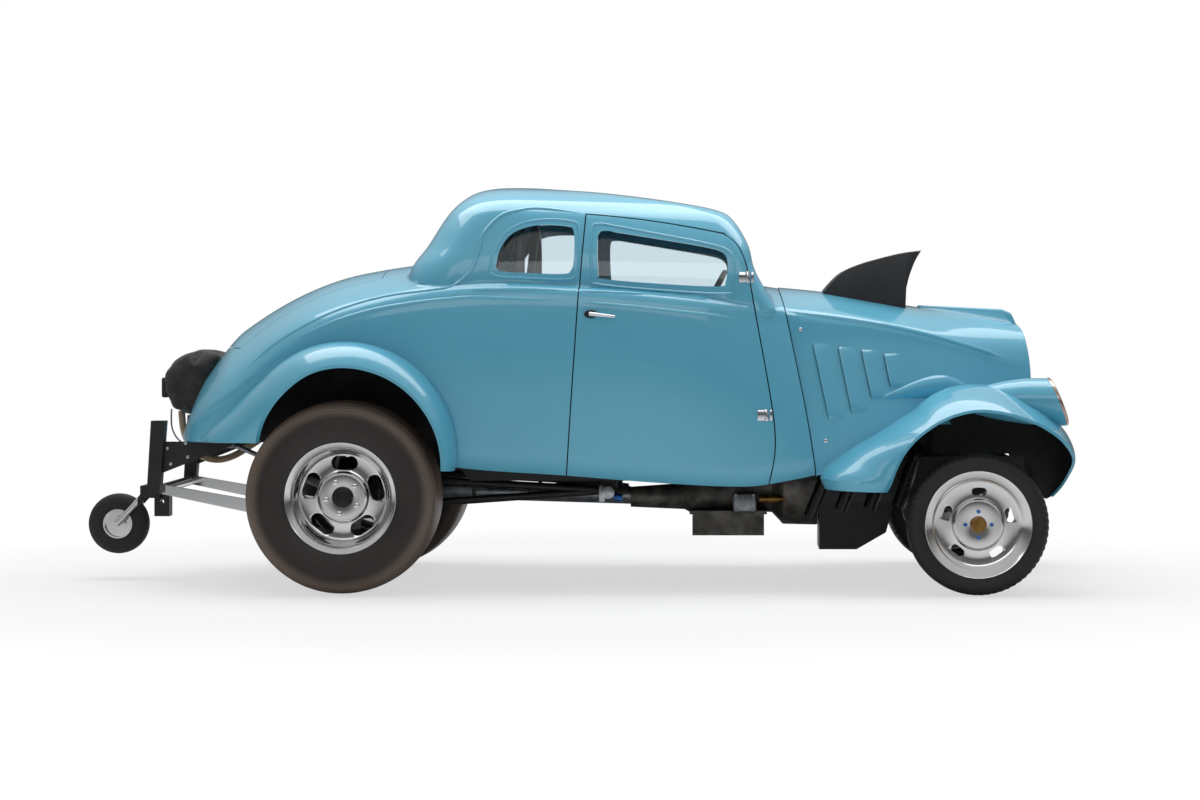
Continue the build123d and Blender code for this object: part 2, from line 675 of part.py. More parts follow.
def cross_members():
    """Members between the rails, with the brackets that hang from them."""
    inner = rail_y - rail_w / 2
    parts = []
    for place, raised in cross_member_shares:
        top = (kick_z + kick_h) if raised else (rail_bottom_z + rail_h)
        x = sx(place)
        member = block(x - rail_w / 2, x + rail_w / 2, -inner, inner, top - cross_depth, top)
        if place == cross_member_shares[0][0]:
            for y in (0, cable_y):
                member += block(x - strap_lug_w, x + strap_lug_w, y - strap_lug_w, y + strap_lug_w,
                                strap_end_z - strap_lug_w, top)
        if sx(place) == ladder_front_x:
            for side in (-1, 1):
                for offset in (-rod_end_w / 2 - seat_gap - bracket_t, rod_end_w / 2 + seat_gap):
                    y = side * ladder_y + offset
                    member += block(x - rail_w / 2, x + rail_w / 2, y, y + bracket_t, rod_end_z - rod_end_h, top)
        parts.append(member)
    bar = block(rail_front_x - pivot_bar_w / 2, rail_front_x + pivot_bar_w / 2, -inner, inner,
                rail_bottom_z, rail_bottom_z + pivot_bar_h)
    for side in (-1, 1):
        low, high = sorted((side * pivot_ear_y, side * (pivot_ear_y + pivot_ear_t)))
        bar += block(rail_front_x, pivot_x + pivot_ear_reach, low, high,
                     pivot_z - pivot_ear_reach, rail_bottom_z + pivot_bar_h / 2)
        bar += tube((pivot_x, side * pivot_ear_y, pivot_z),
                    (pivot_x, side * (pivot_lug_y + 2 * pivot_lug_t), pivot_z), pivot_pin_r)
    parts.append(bar)
    return Compound(children=parts)


def nose_lugs():
    """The bar inside the nose's lower edge and the two lugs that turn on the frame's pins."""
    back = pivot_x - pivot_ear_reach - seat_gap
    front = nose_front_x(sz(0.335)) - nose_wall / 2
    bar_low = sz(0.335)
    solid = block(back, front, -sy(0.29), sy(0.29), bar_low, bar_low + 2 * pivot_lug_t)
    for side in (-1, 1):
        low, high = sorted((side * pivot_lug_y, side * (pivot_lug_y + pivot_lug_t)))
        solid += block(back, pivot_x + 2 * pivot_ear_reach, low, high, pivot_z - pivot_ear_reach, bar_low + pivot_lug_t)
    return solid - tube((pivot_x, -full_y, pivot_z), (pivot_x, full_y, pivot_z), pivot_bore_r)


firewall_share = 0.683
tunnel_half_w = 190.0
floor_half_w = 569.0


def floor_pan():
    top_front = rail_bottom_z + rail_h
    top_rear = kick_z + kick_h
    narrow = rear_tub_y - 2 * rear_tub_wall
    step = sx(0.215)
    front = block(step, sx(firewall_share), -floor_half_w, floor_half_w, top_front, top_front + floor_t)
    riser = block(step - floor_t, step, -narrow, narrow, top_front, top_rear + floor_t)
    rear = block(sx(-0.225), step, -narrow, narrow, top_rear, top_rear + floor_t)
    firewall = block(sx(firewall_share), sx(firewall_share) + floor_t, -full_y, full_y, top_front, sz(1)) & inner_body
    tunnel = block(sx(0.655), sx(0.8), -tunnel_half_w, tunnel_half_w, 0, top_front + 2 * rail_w)
    return (front + riser + rear + firewall) - tunnel


def wheel_tub():
    outer = Pos(rear_arch_x, 0, rear_arch_z) * Rot(90, 0, 0) * Cylinder(rear_tub_r + rear_tub_wall, full_y * 2)
    inner = Pos(rear_arch_x, 0, rear_arch_z) * Rot(90, 0, 0) * Cylinder(rear_tub_r, full_y * 2)
    keep = block(sx(-0.5), sx(0.5), rear_tub_y - rear_tub_wall, full_y, sz(0.366), sz(1))
    disc = (outer & keep) - block(sx(-0.5), sx(0.5), rear_tub_y, full_y, 0, sz(1))
    ring = (outer & keep) - inner
    return (disc + ring) & inner_body


glass_margin = 20.0


def glass_layer():
    """A thin skin just inside the cab, from which every window is taken."""
    near = panel_wall + seat_gap
    return cab_solid(near) - cab_solid(near + glass_t)


def grown(points, amount):
    """An outline grown away from its middle."""
    mid_x = (min(x for x, z in points) + max(x for x, z in points)) / 2
    mid_z = (min(z for x, z in points) + max(z for x, z in points)) / 2
    return [(x + math.copysign(amount, x - mid_x), z + math.copysign(amount, z - mid_z)) for x, z in points]


def fixed_glass(layer):
    m = glass_margin
    front = block(sx(0.5), sx(0.9), -windscreen_half_w - m, windscreen_half_w + m, windscreen_low_z - m / 4,
                  windscreen_high_z + m)
    rear = block(sx(-0.1), sx(0.2), -rear_window_half_w - m, rear_window_half_w + m, rear_window_low_z - m,
                 rear_window_high_z + m)
    quarter = both(side_prism(grown(on_shares(quarter_window_shares), m), sy(0.6), full_y))
    return layer & (front + rear + quarter)


def door_glass(layer):
    return layer & side_prism(grown(on_shares(door_window_shares), glass_margin), sy(0.6), full_y)


# Engine and drive. Columns: place share, height share, radius share of the bell's radius
engine_half_w = 205.0
engine_low_z = 340.0
engine_high_z = 880.0
engine_rear_x = sx(0.7575)
engine_front_x = 1560.0
mount_half_w = 25.0
bell_r = 165.0
gearbox_shares = [
    (0.7575, 0.238, 1.00), (0.700, 0.238, 0.98), (0.682, 0.236, 0.66), (0.664, 0.232, 0.60),
    (0.555, 0.214, 0.52), (0.535, 0.212, 0.34), (0.445, 0.210, 0.26),
]
gear_pan_half_w = 140.0
gear_pan_low_z = 195.0
gear_pan_rim = 12.0
oil_pan_shares = [(0.760, 0.2043), (0.760, 0.081), (0.822, 0.081), (0.871, 0.124), (0.885, 0.2043)]
oil_pan_half_w = 120.0
header_places = (1105.0, 1215.0, 1325.0, 1435.0)
header_end_shares = [(0.7395, 0.180), (0.7885, 0.195), (0.835, 0.198), (0.881, 0.204)]
header_top_z = 575.0
header_y = 480.0


def engine_block():
    solid = block(engine_rear_x, engine_front_x, -engine_half_w, engine_half_w, engine_low_z, engine_high_z)
    inner = rail_y - rail_w / 2
    middle = (engine_rear_x + engine_front_x) / 2
    solid += block(middle - mount_half_w, middle + mount_half_w, -inner, inner,
                   rail_bottom_z + mount_half_w, rail_bottom_z + 2 * mount_half_w)
    return solid


def gearbox():
    faces = []
    for place, level, radius in gearbox_shares:
        plane = Plane(origin=(sx(place), 0, sz(level)), z_dir=(-1, 0, 0))
        faces.append(plane * Circle(bell_r * radius))
    solid = loft(faces, ruled=True)
    low_x, high_x = sx(0.549), sx(0.668)
    solid += block(low_x, high_x, -gear_pan_half_w, gear_pan_half_w, gear_pan_low_z, sz(0.171))
    solid += block(low_x - gear_pan_rim, high_x + gear_pan_rim, -gear_pan_half_w - gear_pan_rim,
                   gear_pan_half_w + gear_pan_rim, sz(0.171), sz(0.180))
    return solid


def oil_pan():
    return side_prism(on_shares(oil_pan_shares), -oil_pan_half_w, oil_pan_half_w)


def headers():
    """Four down-pipes a side, each out over the rail and then down."""
    pipes = []
    for place, (end_x, end_z) in zip(header_places, header_end_shares):
        start = (place, engine_half_w, header_top_z)
        bend = (place, header_y, header_top_z)
        end = (sx(end_x), header_y, sz(end_z))
        pipes.append(bent_tube([start, bend, end], header_r, [2 * header_r]))
    return Compound(children=pipes + [mirror(pipe, about=Plane.XZ) for pipe in pipes])


# The banjo axle. Columns: offset from the axle line and radius, as shares of the housing's radius
banjo_shares = [(-0.97, 0.62), (-0.78, 0.94), (0.0, 1.0), (0.47, 0.70), (0.98, 0.36)]
axle_spigot_r = 19.7
axle_spigot = 90.0


def rear_axle():
    z = rear_tyre_r
    faces = []
    for offset, radius in banjo_shares:
        plane = Plane(origin=(rear_axle_x + offset * diff_r, 0, z), z_dir=(1, 0, 0))
        faces.append(plane * Circle(diff_r * radius))
    solid = loft(faces, ruled=True)
    solid += tube((rear_axle_x, -axle_end_y, z), (rear_axle_x, axle_end_y, z), axle_tube_r)
    reach = axle_end_y + axle_spigot
    return solid + tube((rear_axle_x, -reach, z), (rear_axle_x, reach, z), axle_spigot_r)


def driveshaft():
    last = gearbox_shares[-1]
    start_x = sx(last[0])
    end_x = rear_axle_x + diff_r * banjo_shares[-1][0]
    shaft = tube((rear_axle_x, 0, rear_tyre_r), (sx(last[0] + 0.1), 0, sz(last[1])), driveshaft_r)
    return shaft & block(end_x, start_x, -full_y, full_y, 0, sz(1))


ladder_upper_z = 452.0
ladder_lower_z = 322.0
ladder_plate_x = 45.0
ladder_plate_t = 24.0
ladder_rung_shares = (0.22, 0.45, 0.68)
tyre_clear = 5.0


def ladder_bars():
    """Each bar: two converging tubes, upright rungs, a plate on the axle and a rod end."""
    back = rear_axle_x + ladder_plate_x / 2
    front = ladder_front_x
    upper = ((back, ladder_y, ladder_upper_z), (front, ladder_y, rod_end_z))
    lower = ((back, ladder_y, ladder_lower_z), (front, ladder_y, rod_end_z))
    solid = tube(*upper, ladder_tube_r) + tube(*lower, ladder_tube_r)
    for share in ladder_rung_shares:
        x = back + (front - back) * share
        tops = ladder_upper_z + (rod_end_z - ladder_upper_z) * share
        lows = ladder_lower_z + (rod_end_z - ladder_lower_z) * share
        solid += tube((x, ladder_y, lows), (x, ladder_y, tops), ladder_tube_r / 2)
    half = ladder_plate_t / 2
    solid += block(rear_axle_x - ladder_plate_x, rear_axle_x + 2 * ladder_plate_x, ladder_y - half, ladder_y + half,
                   ladder_lower_z - 2 * ladder_tube_r, ladder_upper_z + 2 * ladder_tube_r)
    solid -= tube((rear_axle_x, 0, rear_tyre_r), (rear_axle_x, full_y, rear_tyre_r), axle_tube_r)
    end = rod_end_w / 2
    solid += block(front - rod_end_h, front + rod_end_h, ladder_y - end, ladder_y + end,
                   rod_end_z - rod_end_h, rod_end_z + rod_end_h)
    return solid


shock_top_x = -1405.0
shock_top_z = 590.0
shock_y = 308.0
shock_r = 24.0
shock_rod_r = 10.0
shock_block = 19.0


def rear_shocks():
    """A shock a side, from a block on the rail down to the back of the axle tube."""
    top = Vector(shock_top_x, shock_y, shock_top_z)
    low = Vector(rear_axle_x - axle_tube_r - shock_block, shock_y, rear_tyre_r)
    mid = top + (low - top) * 0.45
    inner = rail_y - rail_w / 2
    solid = tube(tuple(top), tuple(mid), shock_rod_r) + tube(tuple(mid), tuple(low), shock_r)
    solid += block(shock_top_x - shock_block, shock_top_x + shock_block, shock_y - shock_block, inner,
                   shock_top_z - shock_block, kick_z + shock_block)
    solid += block(low.X - shock_block, low.X + shock_block, shock_y - shock_block, shock_y + shock_block,
                   low.Z - shock_block, low.Z + shock_block)
    return solid


# Front end
boss_r = 26.0
boss_h = 20.0
knuckle_ear = 20.0
knuckle_half = 30.0
knuckle_plate_y = 612.0
knuckle_plate_t = 18.0
steer_arm = 130.0
steer_arm_w = 12.0
ball_pin_r = 8.0
ball_pin_l = 24.0
tie_eye_r = 18.0
spring_half_w = 25.0
spring_reach_share = 0.089
spring_t = 34.0


def front_axle():
    z = front_tyre_r
    solid = tube((front_axle_x, 0, z), (front_axle_x, kingpin_y, z), boss_h * 0.9)
    solid += tube((front_axle_x, kingpin_y, z - boss_h), (front_axle_x, kingpin_y, z + boss_h), boss_r)
    solid -= tube((front_axle_x, kingpin_y, 0), (front_axle_x, kingpin_y, 2 * z), kingpin_r + seat_gap)
    solid += tube((front_axle_x, 0, z), (front_axle_x, kingpin_y - 3 * boss_r, z), front_axle_r)
    return solid + mirror(solid, about=Plane.XZ)


def leaf_springs():
    reach = spring_reach_share * wheelbase
    low = front_tyre_r + front_axle_r + seat_gap
    eye = rail_bottom_z - spring_t
    path = [
        ThreePointArc((front_axle_x - reach, 0, eye), (front_axle_x, 0, low), (front_axle_x + reach, 0, eye)),
        Line((front_axle_x + reach, 0, eye), (front_axle_x + reach, 0, eye + spring_t / 2)),
        ThreePointArc((front_axle_x + reach, 0, eye + spring_t / 2), (front_axle_x, 0, low + spring_t),
                      (front_axle_x - reach, 0, eye + spring_t / 2)),
        Line((front_axle_x - reach, 0, eye + spring_t / 2), (front_axle_x - reach, 0, eye)),
    ]
    leaf = Pos(0, rail_y - spring_half_w, 0) * extrude(make_face(Wire(path)), 2 * spring_half_w, dir=(0, 1, 0))
    for side in (-1, 1):
        x = front_axle_x + side * (reach - spring_half_w / 2)
        leaf += block(x - spring_half_w / 2, x + spring_half_w / 2, rail_y - spring_half_w, rail_y + spring_half_w,
                      eye, rail_bottom_z)
    return both(leaf)


def knuckle():
    z = front_tyre_r
    x0, x1 = front_axle_x - knuckle_half, front_axle_x + knuckle_half
    y0, y1 = kingpin_y - boss_r, knuckle_plate_y + knuckle_plate_t
    top = z + boss_h + seat_gap
    low = z - boss_h - seat_gap
    solid = block(x0, x1, y0, y1, top, top + knuckle_ear) + block(x0, x1, y0, y1, low - knuckle_ear, low)
    solid += block(x0, x1, knuckle_plate_y, y1, low, top)
    solid += tube((front_axle_x, kingpin_y, low), (front_axle_x, kingpin_y, top), kingpin_r)
    solid += tube((front_axle_x, y1, z), (front_axle_x, spindle_end_y, z), spindle_r)
    arm_x = front_axle_x - steer_arm
    solid += block(arm_x - steer_arm_w, x0, kingpin_y - steer_arm_w, kingpin_y + steer_arm_w, low - knuckle_ear, low)
    return solid + tube((arm_x, kingpin_y, low - knuckle_ear - ball_pin_l), (arm_x, kingpin_y, low), ball_pin_r)


def tie_rod():
    low = front_tyre_r - boss_h - seat_gap - knuckle_ear
    z = low - ball_pin_l / 2
    x = front_axle_x - steer_arm
    solid = tube((x, 0, z), (x, kingpin_y - tie_eye_r / 2, z), tie_rod_r)
    solid += tube((x, kingpin_y, z - tie_rod_r), (x, kingpin_y, low - seat_gap), tie_eye_r)
    solid -= tube((x, kingpin_y, 0), (x, kingpin_y, front_tyre_r), ball_pin_r + seat_gap)
    return solid + mirror(solid, about=Plane.XZ)


# Cabin
driver_y = 300.0
steer_wheel_x = 560.0
steer_wheel_z = 1150.0
steer_wheel_r = 185.0
steer_rim_r = 12.0
steer_lean = 28.0
column_r = 18.0
spoke_w = 22.0
spoke_t = 5.0
seat_half_w = 215.0
seat_side_t = 25.0
seat_outer_shares = [
    (0.288, 0.690), (0.318, 0.695), (0.356, 0.520), (0.446, 0.465), (0.506, 0.475), (0.513, 0.420),
    (0.496, 0.3296), (0.326, 0.3296), (0.309, 0.400),
]
seat_inner_shares = [(0.302, 0.800), (0.304, 0.680), (0.332, 0.440), (0.356, 0.402), (0.63, 0.435), (0.63, 0.800)]
hoop_x = -190.0
hoop_shares = [(0.78, 0.3303), (0.735, 0.870), (0.50, 0.940)]
hoop_bend = 110.0
stay_end_shares = (0.06, 0.48)
radiator_x = 1796.0
radiator_half_w = 185.0
radiator_half_t = 22.0
radiator_high_z = 930.0


def column_axis():
    lean = math.radians(steer_lean)
    return Vector(math.cos(lean), 0, -math.sin(lean))


def steering_wheel():
    """A dished ring on three spokes and a hub, square to the leaning column."""
    plane = Plane(origin=(steer_wheel_x, driver_y, steer_wheel_z), x_dir=(0, 1, 0), z_dir=column_axis())
    ring = plane * Torus(steer_wheel_r, steer_rim_r)
    hub = plane * Pos(0, 0, spoke_t) * Cylinder(2 * column_r, 4 * spoke_t)
    solid = ring + hub
    for turn in (90, 210, 330):
        solid += plane * Rot(0, 0, turn) * Pos(steer_wheel_r / 2, 0, 0) * Box(steer_wheel_r, spoke_w, spoke_t)
    return solid


def steering_column():
    axis = column_axis()
    hub_end = 3 * spoke_t + seat_gap
    start = Vector(steer_wheel_x, driver_y, steer_wheel_z) + axis * hub_end
    wall_x = sx(firewall_share) - seat_gap
    length = (wall_x - start.X) / axis.X + 2 * column_r
    solid = tube(tuple(start), tuple(start + axis * length), column_r)
    return solid & block(0, wall_x, 0, full_y, 0, sz(1))


dash_rear_x = 790.0
dash_low_z = 1075.0
dash_high_z = 1145.0
dash_half_w = 440.0


def dashboard():
    """A plain panel on the firewall, with a hole for the column."""
    panel = block(dash_rear_x, sx(firewall_share) - seat_gap, -dash_half_w, dash_half_w, dash_low_z, dash_high_z)
    return panel - steering_column()


def seat():
    outer = side_prism(on_shares(seat_outer_shares), driver_y - seat_half_w, driver_y + seat_half_w)
    inner_half = seat_half_w - seat_side_t
    return outer - side_prism(on_shares(seat_inner_shares), driver_y - inner_half, driver_y + inner_half)


def roll_cage():
    """A main hoop, its diagonal and cross bar, and two stays down to the raised floor."""
    half = [(hoop_x, sy(y), sz(z)) for y, z in hoop_shares]
    points = half + [(x, -y, z) for x, y, z in reversed(half)]
    hoop = bent_tube(points, cage_r, hoop_bend)
    brace_r = cage_r * 0.8
    top_floor = kick_z + kick_h + floor_t
    cross = tube((hoop_x, -sy(0.76), sz(0.45)), (hoop_x, sy(0.76), sz(0.45)), brace_r) - hoop
    diagonal = tube((hoop_x, -sy(0.76), sz(0.52)), (hoop_x, sy(0.60), sz(0.905)), brace_r) - hoop
    parts = [hoop, largest(cross), largest(diagonal)]
    for side in (-1, 1):
        start = (hoop_x, side * sy(0.67), sz(0.89))
        end = (sx(stay_end_shares[0]), side * sy(stay_end_shares[1]), top_floor - cage_r)
        stay = tube(start, end, brace_r) - hoop - block(sx(-0.5), sx(0.215), -full_y, full_y, 0, top_floor)
        parts.append(largest(stay))
    return Compound(children=parts)


def radiator():
    x, t = radiator_x, radiator_half_t
    return block(x - t, x + t, -radiator_half_w, radiator_half_w, rail_bottom_z + rail_h, radiator_high_z)


# Push bars, wheelie bars and parachute
push_y = 370.0
push_half_w = 28.0
push_shares = [(-0.328, 0.413), (-0.305, 0.413), (-0.314, 0.232), (-0.335, 0.232)]
plate_shares = [(-0.315, 0.361), (-0.260, 0.361), (-0.260, 0.3678), (-0.200, 0.3678), (-0.200, 0.350), (-0.315, 0.281)]
plate_t = 10.0
bar_shares = [(-0.322, 0.255), (-0.322, 0.232), (-0.040, 0.141), (0.009, 0.141), (0.009, 0.168)]
bar_y = 330.0
bar_half_w = 12.0
bar_hanger_w = 22.0
cross_bar_x = -1700.0
cross_bar_z = 400.0
cross_bar_r = 20.0
receiver_x = -1750.0
receiver_z = 330.0
receiver_half_w = 32.0
receiver_low_z = 268.0
receiver_high_z = 392.0
receiver_bore_r = 10.0
wheelie_x = -1938.0
wheelie_z = 236.0
fork_y = 58.0
fork_r = 13.0
fork_block = 26.0
pack_shares = [
    (-0.250, 0.36), (-0.250, 0.590), (-0.296, 0.584), (-0.320, 0.557), (-0.333, 0.531), (-0.331, 0.480),
    (-0.318, 0.432), (-0.290, 0.424),
]
pack_half_w = 150.0
pack_low_z = 700.0
strap_r = 15.0
strap_end_z = 604.0
cable_r = 3.5
cable_y = -70.0
anchor_x = sx(-0.165) - strap_lug_w
strap_route = [
    (-1672.0, 0.0, 716.0), (-1669.0, 0.0, 660.0), (-1656.0, 0.0, 602.0), (-1622.0, 0.0, 547.0),
    (-1570.0, 0.0, 513.0), (-1504.0, 0.0, 505.0), (-1440.0, 0.0, 527.0), (-1384.0, 0.0, 564.0),
    (anchor_x, 0.0, strap_end_z),
]
cable_route = [
    (-1700.0, cable_y, 726.0), (-1703.0, cable_y, 684.0), (-1698.0, cable_y, 636.0), (-1672.0, cable_y, 592.0),
    (-1622.0, cable_y, 566.0), (-1562.0, cable_y, 560.0), (-1502.0, cable_y, 570.0), (-1442.0, cable_y, 588.0),
    (-1382.0, cable_y, 600.0), (anchor_x, cable_y, strap_end_z),
]


def push_bars():
    """An upright square post a side, welded to the plate that joins it to the rail."""
    post = side_prism(on_shares(push_shares), push_y - push_half_w, push_y + push_half_w)
    post += side_prism(on_shares(plate_shares), push_y - plate_t, push_y)
    return both(post)


def wheelie_bars():
    """Two long bars from the axle back to a cross tube, with the receiver and the wheel's fork."""
    solid = tube((cross_bar_x, -push_y + push_half_w, cross_bar_z), (cross_bar_x, push_y - push_half_w, cross_bar_z),
                 cross_bar_r)
    for side in (-1, 1):
        low, high = sorted((side * (bar_y - bar_half_w), side * (bar_y + bar_half_w)))
        solid += side_prism(on_shares(bar_shares), low, high)
        solid += block(rear_axle_x - bar_hanger_w, rear_axle_x + bar_hanger_w, low, high, sz(0.141),
                       rear_tyre_r - axle_tube_r + tyre_clear)
    receiver = block(receiver_x - receiver_half_w, receiver_x + receiver_half_w, -receiver_half_w, receiver_half_w,
                     receiver_low_z, receiver_high_z)
    receiver -= tube((receiver_x, -full_y, receiver_z), (receiver_x, full_y, receiver_z), receiver_bore_r)
    solid += receiver + block(receiver_x, cross_bar_x, -receiver_half_w, receiver_half_w, cross_bar_z - cross_bar_r,
                              receiver_high_z + cross_bar_r / 2)
    head_x = receiver_x - receiver_half_w - fork_block
    solid += block(head_x - fork_block, receiver_x, -fork_y - fork_r, fork_y + fork_r, cross_bar_z - 2 * fork_block,
                   cross_bar_z)
    for side in (-1, 1):
        solid += tube((head_x, side * fork_y, cross_bar_z - fork_block), (wheelie_x, side * fork_y, wheelie_z), fork_r)
    solid += tube((wheelie_x, -fork_y - fork_r, wheelie_z), (wheelie_x, fork_y + fork_r, wheelie_z), wheelie_pin_r)
    axle = tube((rear_axle_x, -full_y, rear_tyre_r), (rear_axle_x, full_y, rear_tyre_r), axle_tube_r)
    return solid - axle


def parachute_pack():
    pack = side_prism(on_shares(pack_shares), -pack_half_w, pack_half_w) - outer_body
    return pack & block(sx(-0.5), sx(-0.2), -full_y, full_y, pack_low_z, sz(1))


def wheelie_tyre():
    return wheel_tyre(wheelie_tyre_r, wheelie_tyre_w, wheelie_rim_r, wheelie_tyre_w * 0.8, wheelie_shoulder)


def wheelie_rim():
    half = wheelie_tyre_w * 0.4
    rim = Rot(90, 0, 0) * Cylinder(wheelie_rim_r, 2 * half)
    dish = Rot(90, 0, 0) * (Cylinder(wheelie_rim_r - rim_wall, half) - Cylinder(wheelie_rim_r / 2, half))
    hub = Rot(90, 0, 0) * Cylinder(wheelie_rim_r / 3, 2 * (fork_y - fork_r - seat_gap))
    bore = Rot(90, 0, 0) * Cylinder(wheelie_bore_r, 2 * full_y)
    return rim - Pos(0, -half, 0) * dish - Pos(0, half, 0) * dish + hub - bore


def cord_tube(route, radius, name):
    """A cord's tube: straight runs joined by arcs as large as the runs allow."""
    points = [Vector(*point) for point in route]
    radii = []
    for before, here, after in zip(points, points[1:], points[2:]):
        run = min((here - before).length, (after - here).length)
        turn = math.radians((here - before).get_angle(after - here))
        radii.append(0.45 * run / math.tan(turn / 2))
    path = FilletPolyline(*points, radius=radii)
    solid = sweep(Plane(origin=path @ 0, z_dir=path % 0) * Circle(radius), path=path)
    expected = math.pi * radius ** 2 * path.length
    print(name, "radii", [round(r) for r in radii], "length", round(path.length), "volume share",
          round(solid.volume / expected, 4))
    return solid


# Doors
hinge_low = (813.0, 630.0, 723.0)
hinge_high = (739.0, 612.0, 1279.0)
hinge_barrel_r = 8.0
hinge_barrel_h = 44.0
hinge_leaf_l = 34.0
hinge_leaf_t = 5.0
handle_x = 150.0
handle_z = 1140.0
handle_l = 115.0
handle_r = 9.0
handle_stand = 34.0


def door_fittings():
    """Two outside hinges and the handle, seated on the left door's skin."""
    low, high = Vector(*hinge_low), Vector(*hinge_high)
    axis = (high - low).normalized()
    parts = []
    for middle in (low, high):
        start, end = middle - axis * (hinge_barrel_h / 2), middle + axis * (hinge_barrel_h / 2)
        barrel = tube(tuple(start), tuple(end), hinge_barrel_r)
        leaf = block(middle.X - hinge_leaf_l, middle.X, middle.Y - 2 * hinge_leaf_l, middle.Y + hinge_leaf_t,
                     middle.Z - hinge_barrel_h / 3, middle.Z + hinge_barrel_h / 3)
        parts.append((barrel + leaf) - outer_shape)
    stem = tube((handle_x, 0, handle_z), (handle_x, body_half_width + handle_stand, handle_z), handle_r)
    lever = tube((handle_x - handle_r, body_half_width + handle_stand - handle_r, handle_z),
                 (handle_x + handle_l, body_half_width + handle_stand - 2 * handle_r, handle_z), handle_r * 0.7)
    parts.append((stem + lever) - outer_shape)
    return Compound(children=[largest(part) for part in parts])


nodes = {}


def build():
    panels = body_panels()
    nodes["roof_panel"] = panels["roof_panel"]
    nodes["quarter_panels"] = both(panels["quarter"])
    nodes["cowl_panel"] = panels["cowl_panel"]
    nodes["tail_panel"] = panels["tail_panel"]
    nodes["deck_lid"] = panels["deck_lid"]
    layer = glass_layer()
    nodes["fixed_glass"] = fixed_glass(layer)
    pane = door_glass(layer)
    fittings = door_fittings()
    for side, turn in (("left", lambda shape: shape), ("right", lambda shape: mirror(shape, about=Plane.XZ))):
        nodes["door_" + side] = turn(panels["left_door"])
        nodes["door_glass_" + side] = turn(pane)
        nodes["door_fittings_" + side] = turn(fittings)
        nodes["knuckle_" + side] = turn(knuckle())
    nodes["rear_fenders"] = both(rear_fender())
    nodes["wheel_tubs"] = both(wheel_tub())
    nodes["frame_rails"] = frame_rails()
    nodes["cross_members"] = cross_members()
    nodes["floor_pan"] = floor_pan()
    nodes["engine_block"] = engine_block()
    nodes["gearbox"] = gearbox()
    nodes["oil_pan"] = oil_pan()
    nodes["headers"] = headers()
    nodes["driveshaft"] = driveshaft()
    nodes["rear_axle"] = rear_axle()
    nodes["ladder_bars"] = both(ladder_bars())
    nodes["rear_shocks"] = both(rear_shocks())
    nodes["front_axle"] = front_axle()
    nodes["leaf_springs"] = leaf_springs()
    nodes["steering_column"] = steering_column()
    nodes["steering_wheel"] = steering_wheel()
    nodes["tie_rod"] = tie_rod()
    nodes["dashboard"] = dashboard()
    nodes["seat"] = seat()
    nodes["roll_cage"] = roll_cage()
    nodes["radiator"] = radiator()
    nodes["push_bars"] = push_bars()
    nodes["wheelie_bars"] = wheelie_bars()
    nodes["parachute_pack"] = parachute_pack()
    nodes["tether_strap"] = cord_tube(strap_route, strap_r, "tether strap")
    nodes["release_cable"] = cord_tube(cable_route, cable_r, "release cable")
    nodes["hood_shell"] = hood_shell() + nose_lugs()
    nodes["front_fenders"] = both(front_fender())
    nodes["headlamps"] = both(headlamp())
    nodes["grille"] = grille()
    nodes["scoop"] = scoop()
    rear_rim = wheel_rim(rear_rim_r, rear_rim_w, rear_barrel_r, rear_dish_depth,
                         rear_wheel_y - axle_end_y - seat_gap, axle_spigot_r + seat_gap, *slot_rear, first_slot)
    front_rim = wheel_rim(front_rim_r, front_rim_w, front_barrel_r, front_dish_depth, front_wheel_y - hub_inner_y,
                          spindle_r + seat_gap, *slot_front, first_slot)
    rear_tyre = wheel_tyre(rear_tyre_r, rear_tyre_w, rear_rim_r, rear_rim_w, rear_shoulder)
    front_tyre = wheel_tyre(front_tyre_r, front_tyre_w, front_rim_r, front_rim_w, front_shoulder)
    for side, sign in (("left", 1), ("right", -1)):
        nodes["rear_rim_" + side] = wheel_at(rear_rim, rear_axle_x, rear_tyre_r, rear_wheel_y, sign)
        nodes["rear_tyre_" + side] = wheel_at(rear_tyre, rear_axle_x, rear_tyre_r, rear_wheel_y, sign)
        nodes["front_rim_" + side] = wheel_at(front_rim, front_axle_x, front_tyre_r, front_wheel_y, sign)
        nodes["front_tyre_" + side] = wheel_at(front_tyre, front_axle_x, front_tyre_r, front_wheel_y, sign)
    nodes["wheelie_rim"] = Pos(wheelie_x, 0, wheelie_z) * wheelie_rim()
    nodes["wheelie_tyre"] = Pos(wheelie_x, 0, wheelie_z) * wheelie_tyre()


build()
os.makedirs("parts", exist_ok=True)
for name, shape in nodes.items():
    export_step(shape, os.path.join("parts", name + ".step"))
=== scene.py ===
import math

import bmesh
import bpy
from mathutils import Matrix, Vector, noise
from mathutils.bvhtree import BVHTree


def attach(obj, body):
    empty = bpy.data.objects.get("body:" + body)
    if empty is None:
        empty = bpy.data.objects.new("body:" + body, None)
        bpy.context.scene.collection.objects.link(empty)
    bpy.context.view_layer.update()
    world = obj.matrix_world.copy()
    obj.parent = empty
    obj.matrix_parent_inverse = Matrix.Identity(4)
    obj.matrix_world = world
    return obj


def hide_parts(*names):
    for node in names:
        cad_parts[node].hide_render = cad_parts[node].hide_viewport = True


# Drag racing car: the looks of a light blue 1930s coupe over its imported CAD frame, in metres
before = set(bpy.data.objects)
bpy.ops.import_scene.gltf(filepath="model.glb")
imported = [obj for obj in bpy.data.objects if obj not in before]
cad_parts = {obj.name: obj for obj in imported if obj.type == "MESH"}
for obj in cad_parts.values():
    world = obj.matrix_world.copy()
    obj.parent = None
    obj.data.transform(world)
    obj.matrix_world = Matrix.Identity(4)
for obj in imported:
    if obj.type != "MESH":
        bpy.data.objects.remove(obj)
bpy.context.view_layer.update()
scene = bpy.context.scene

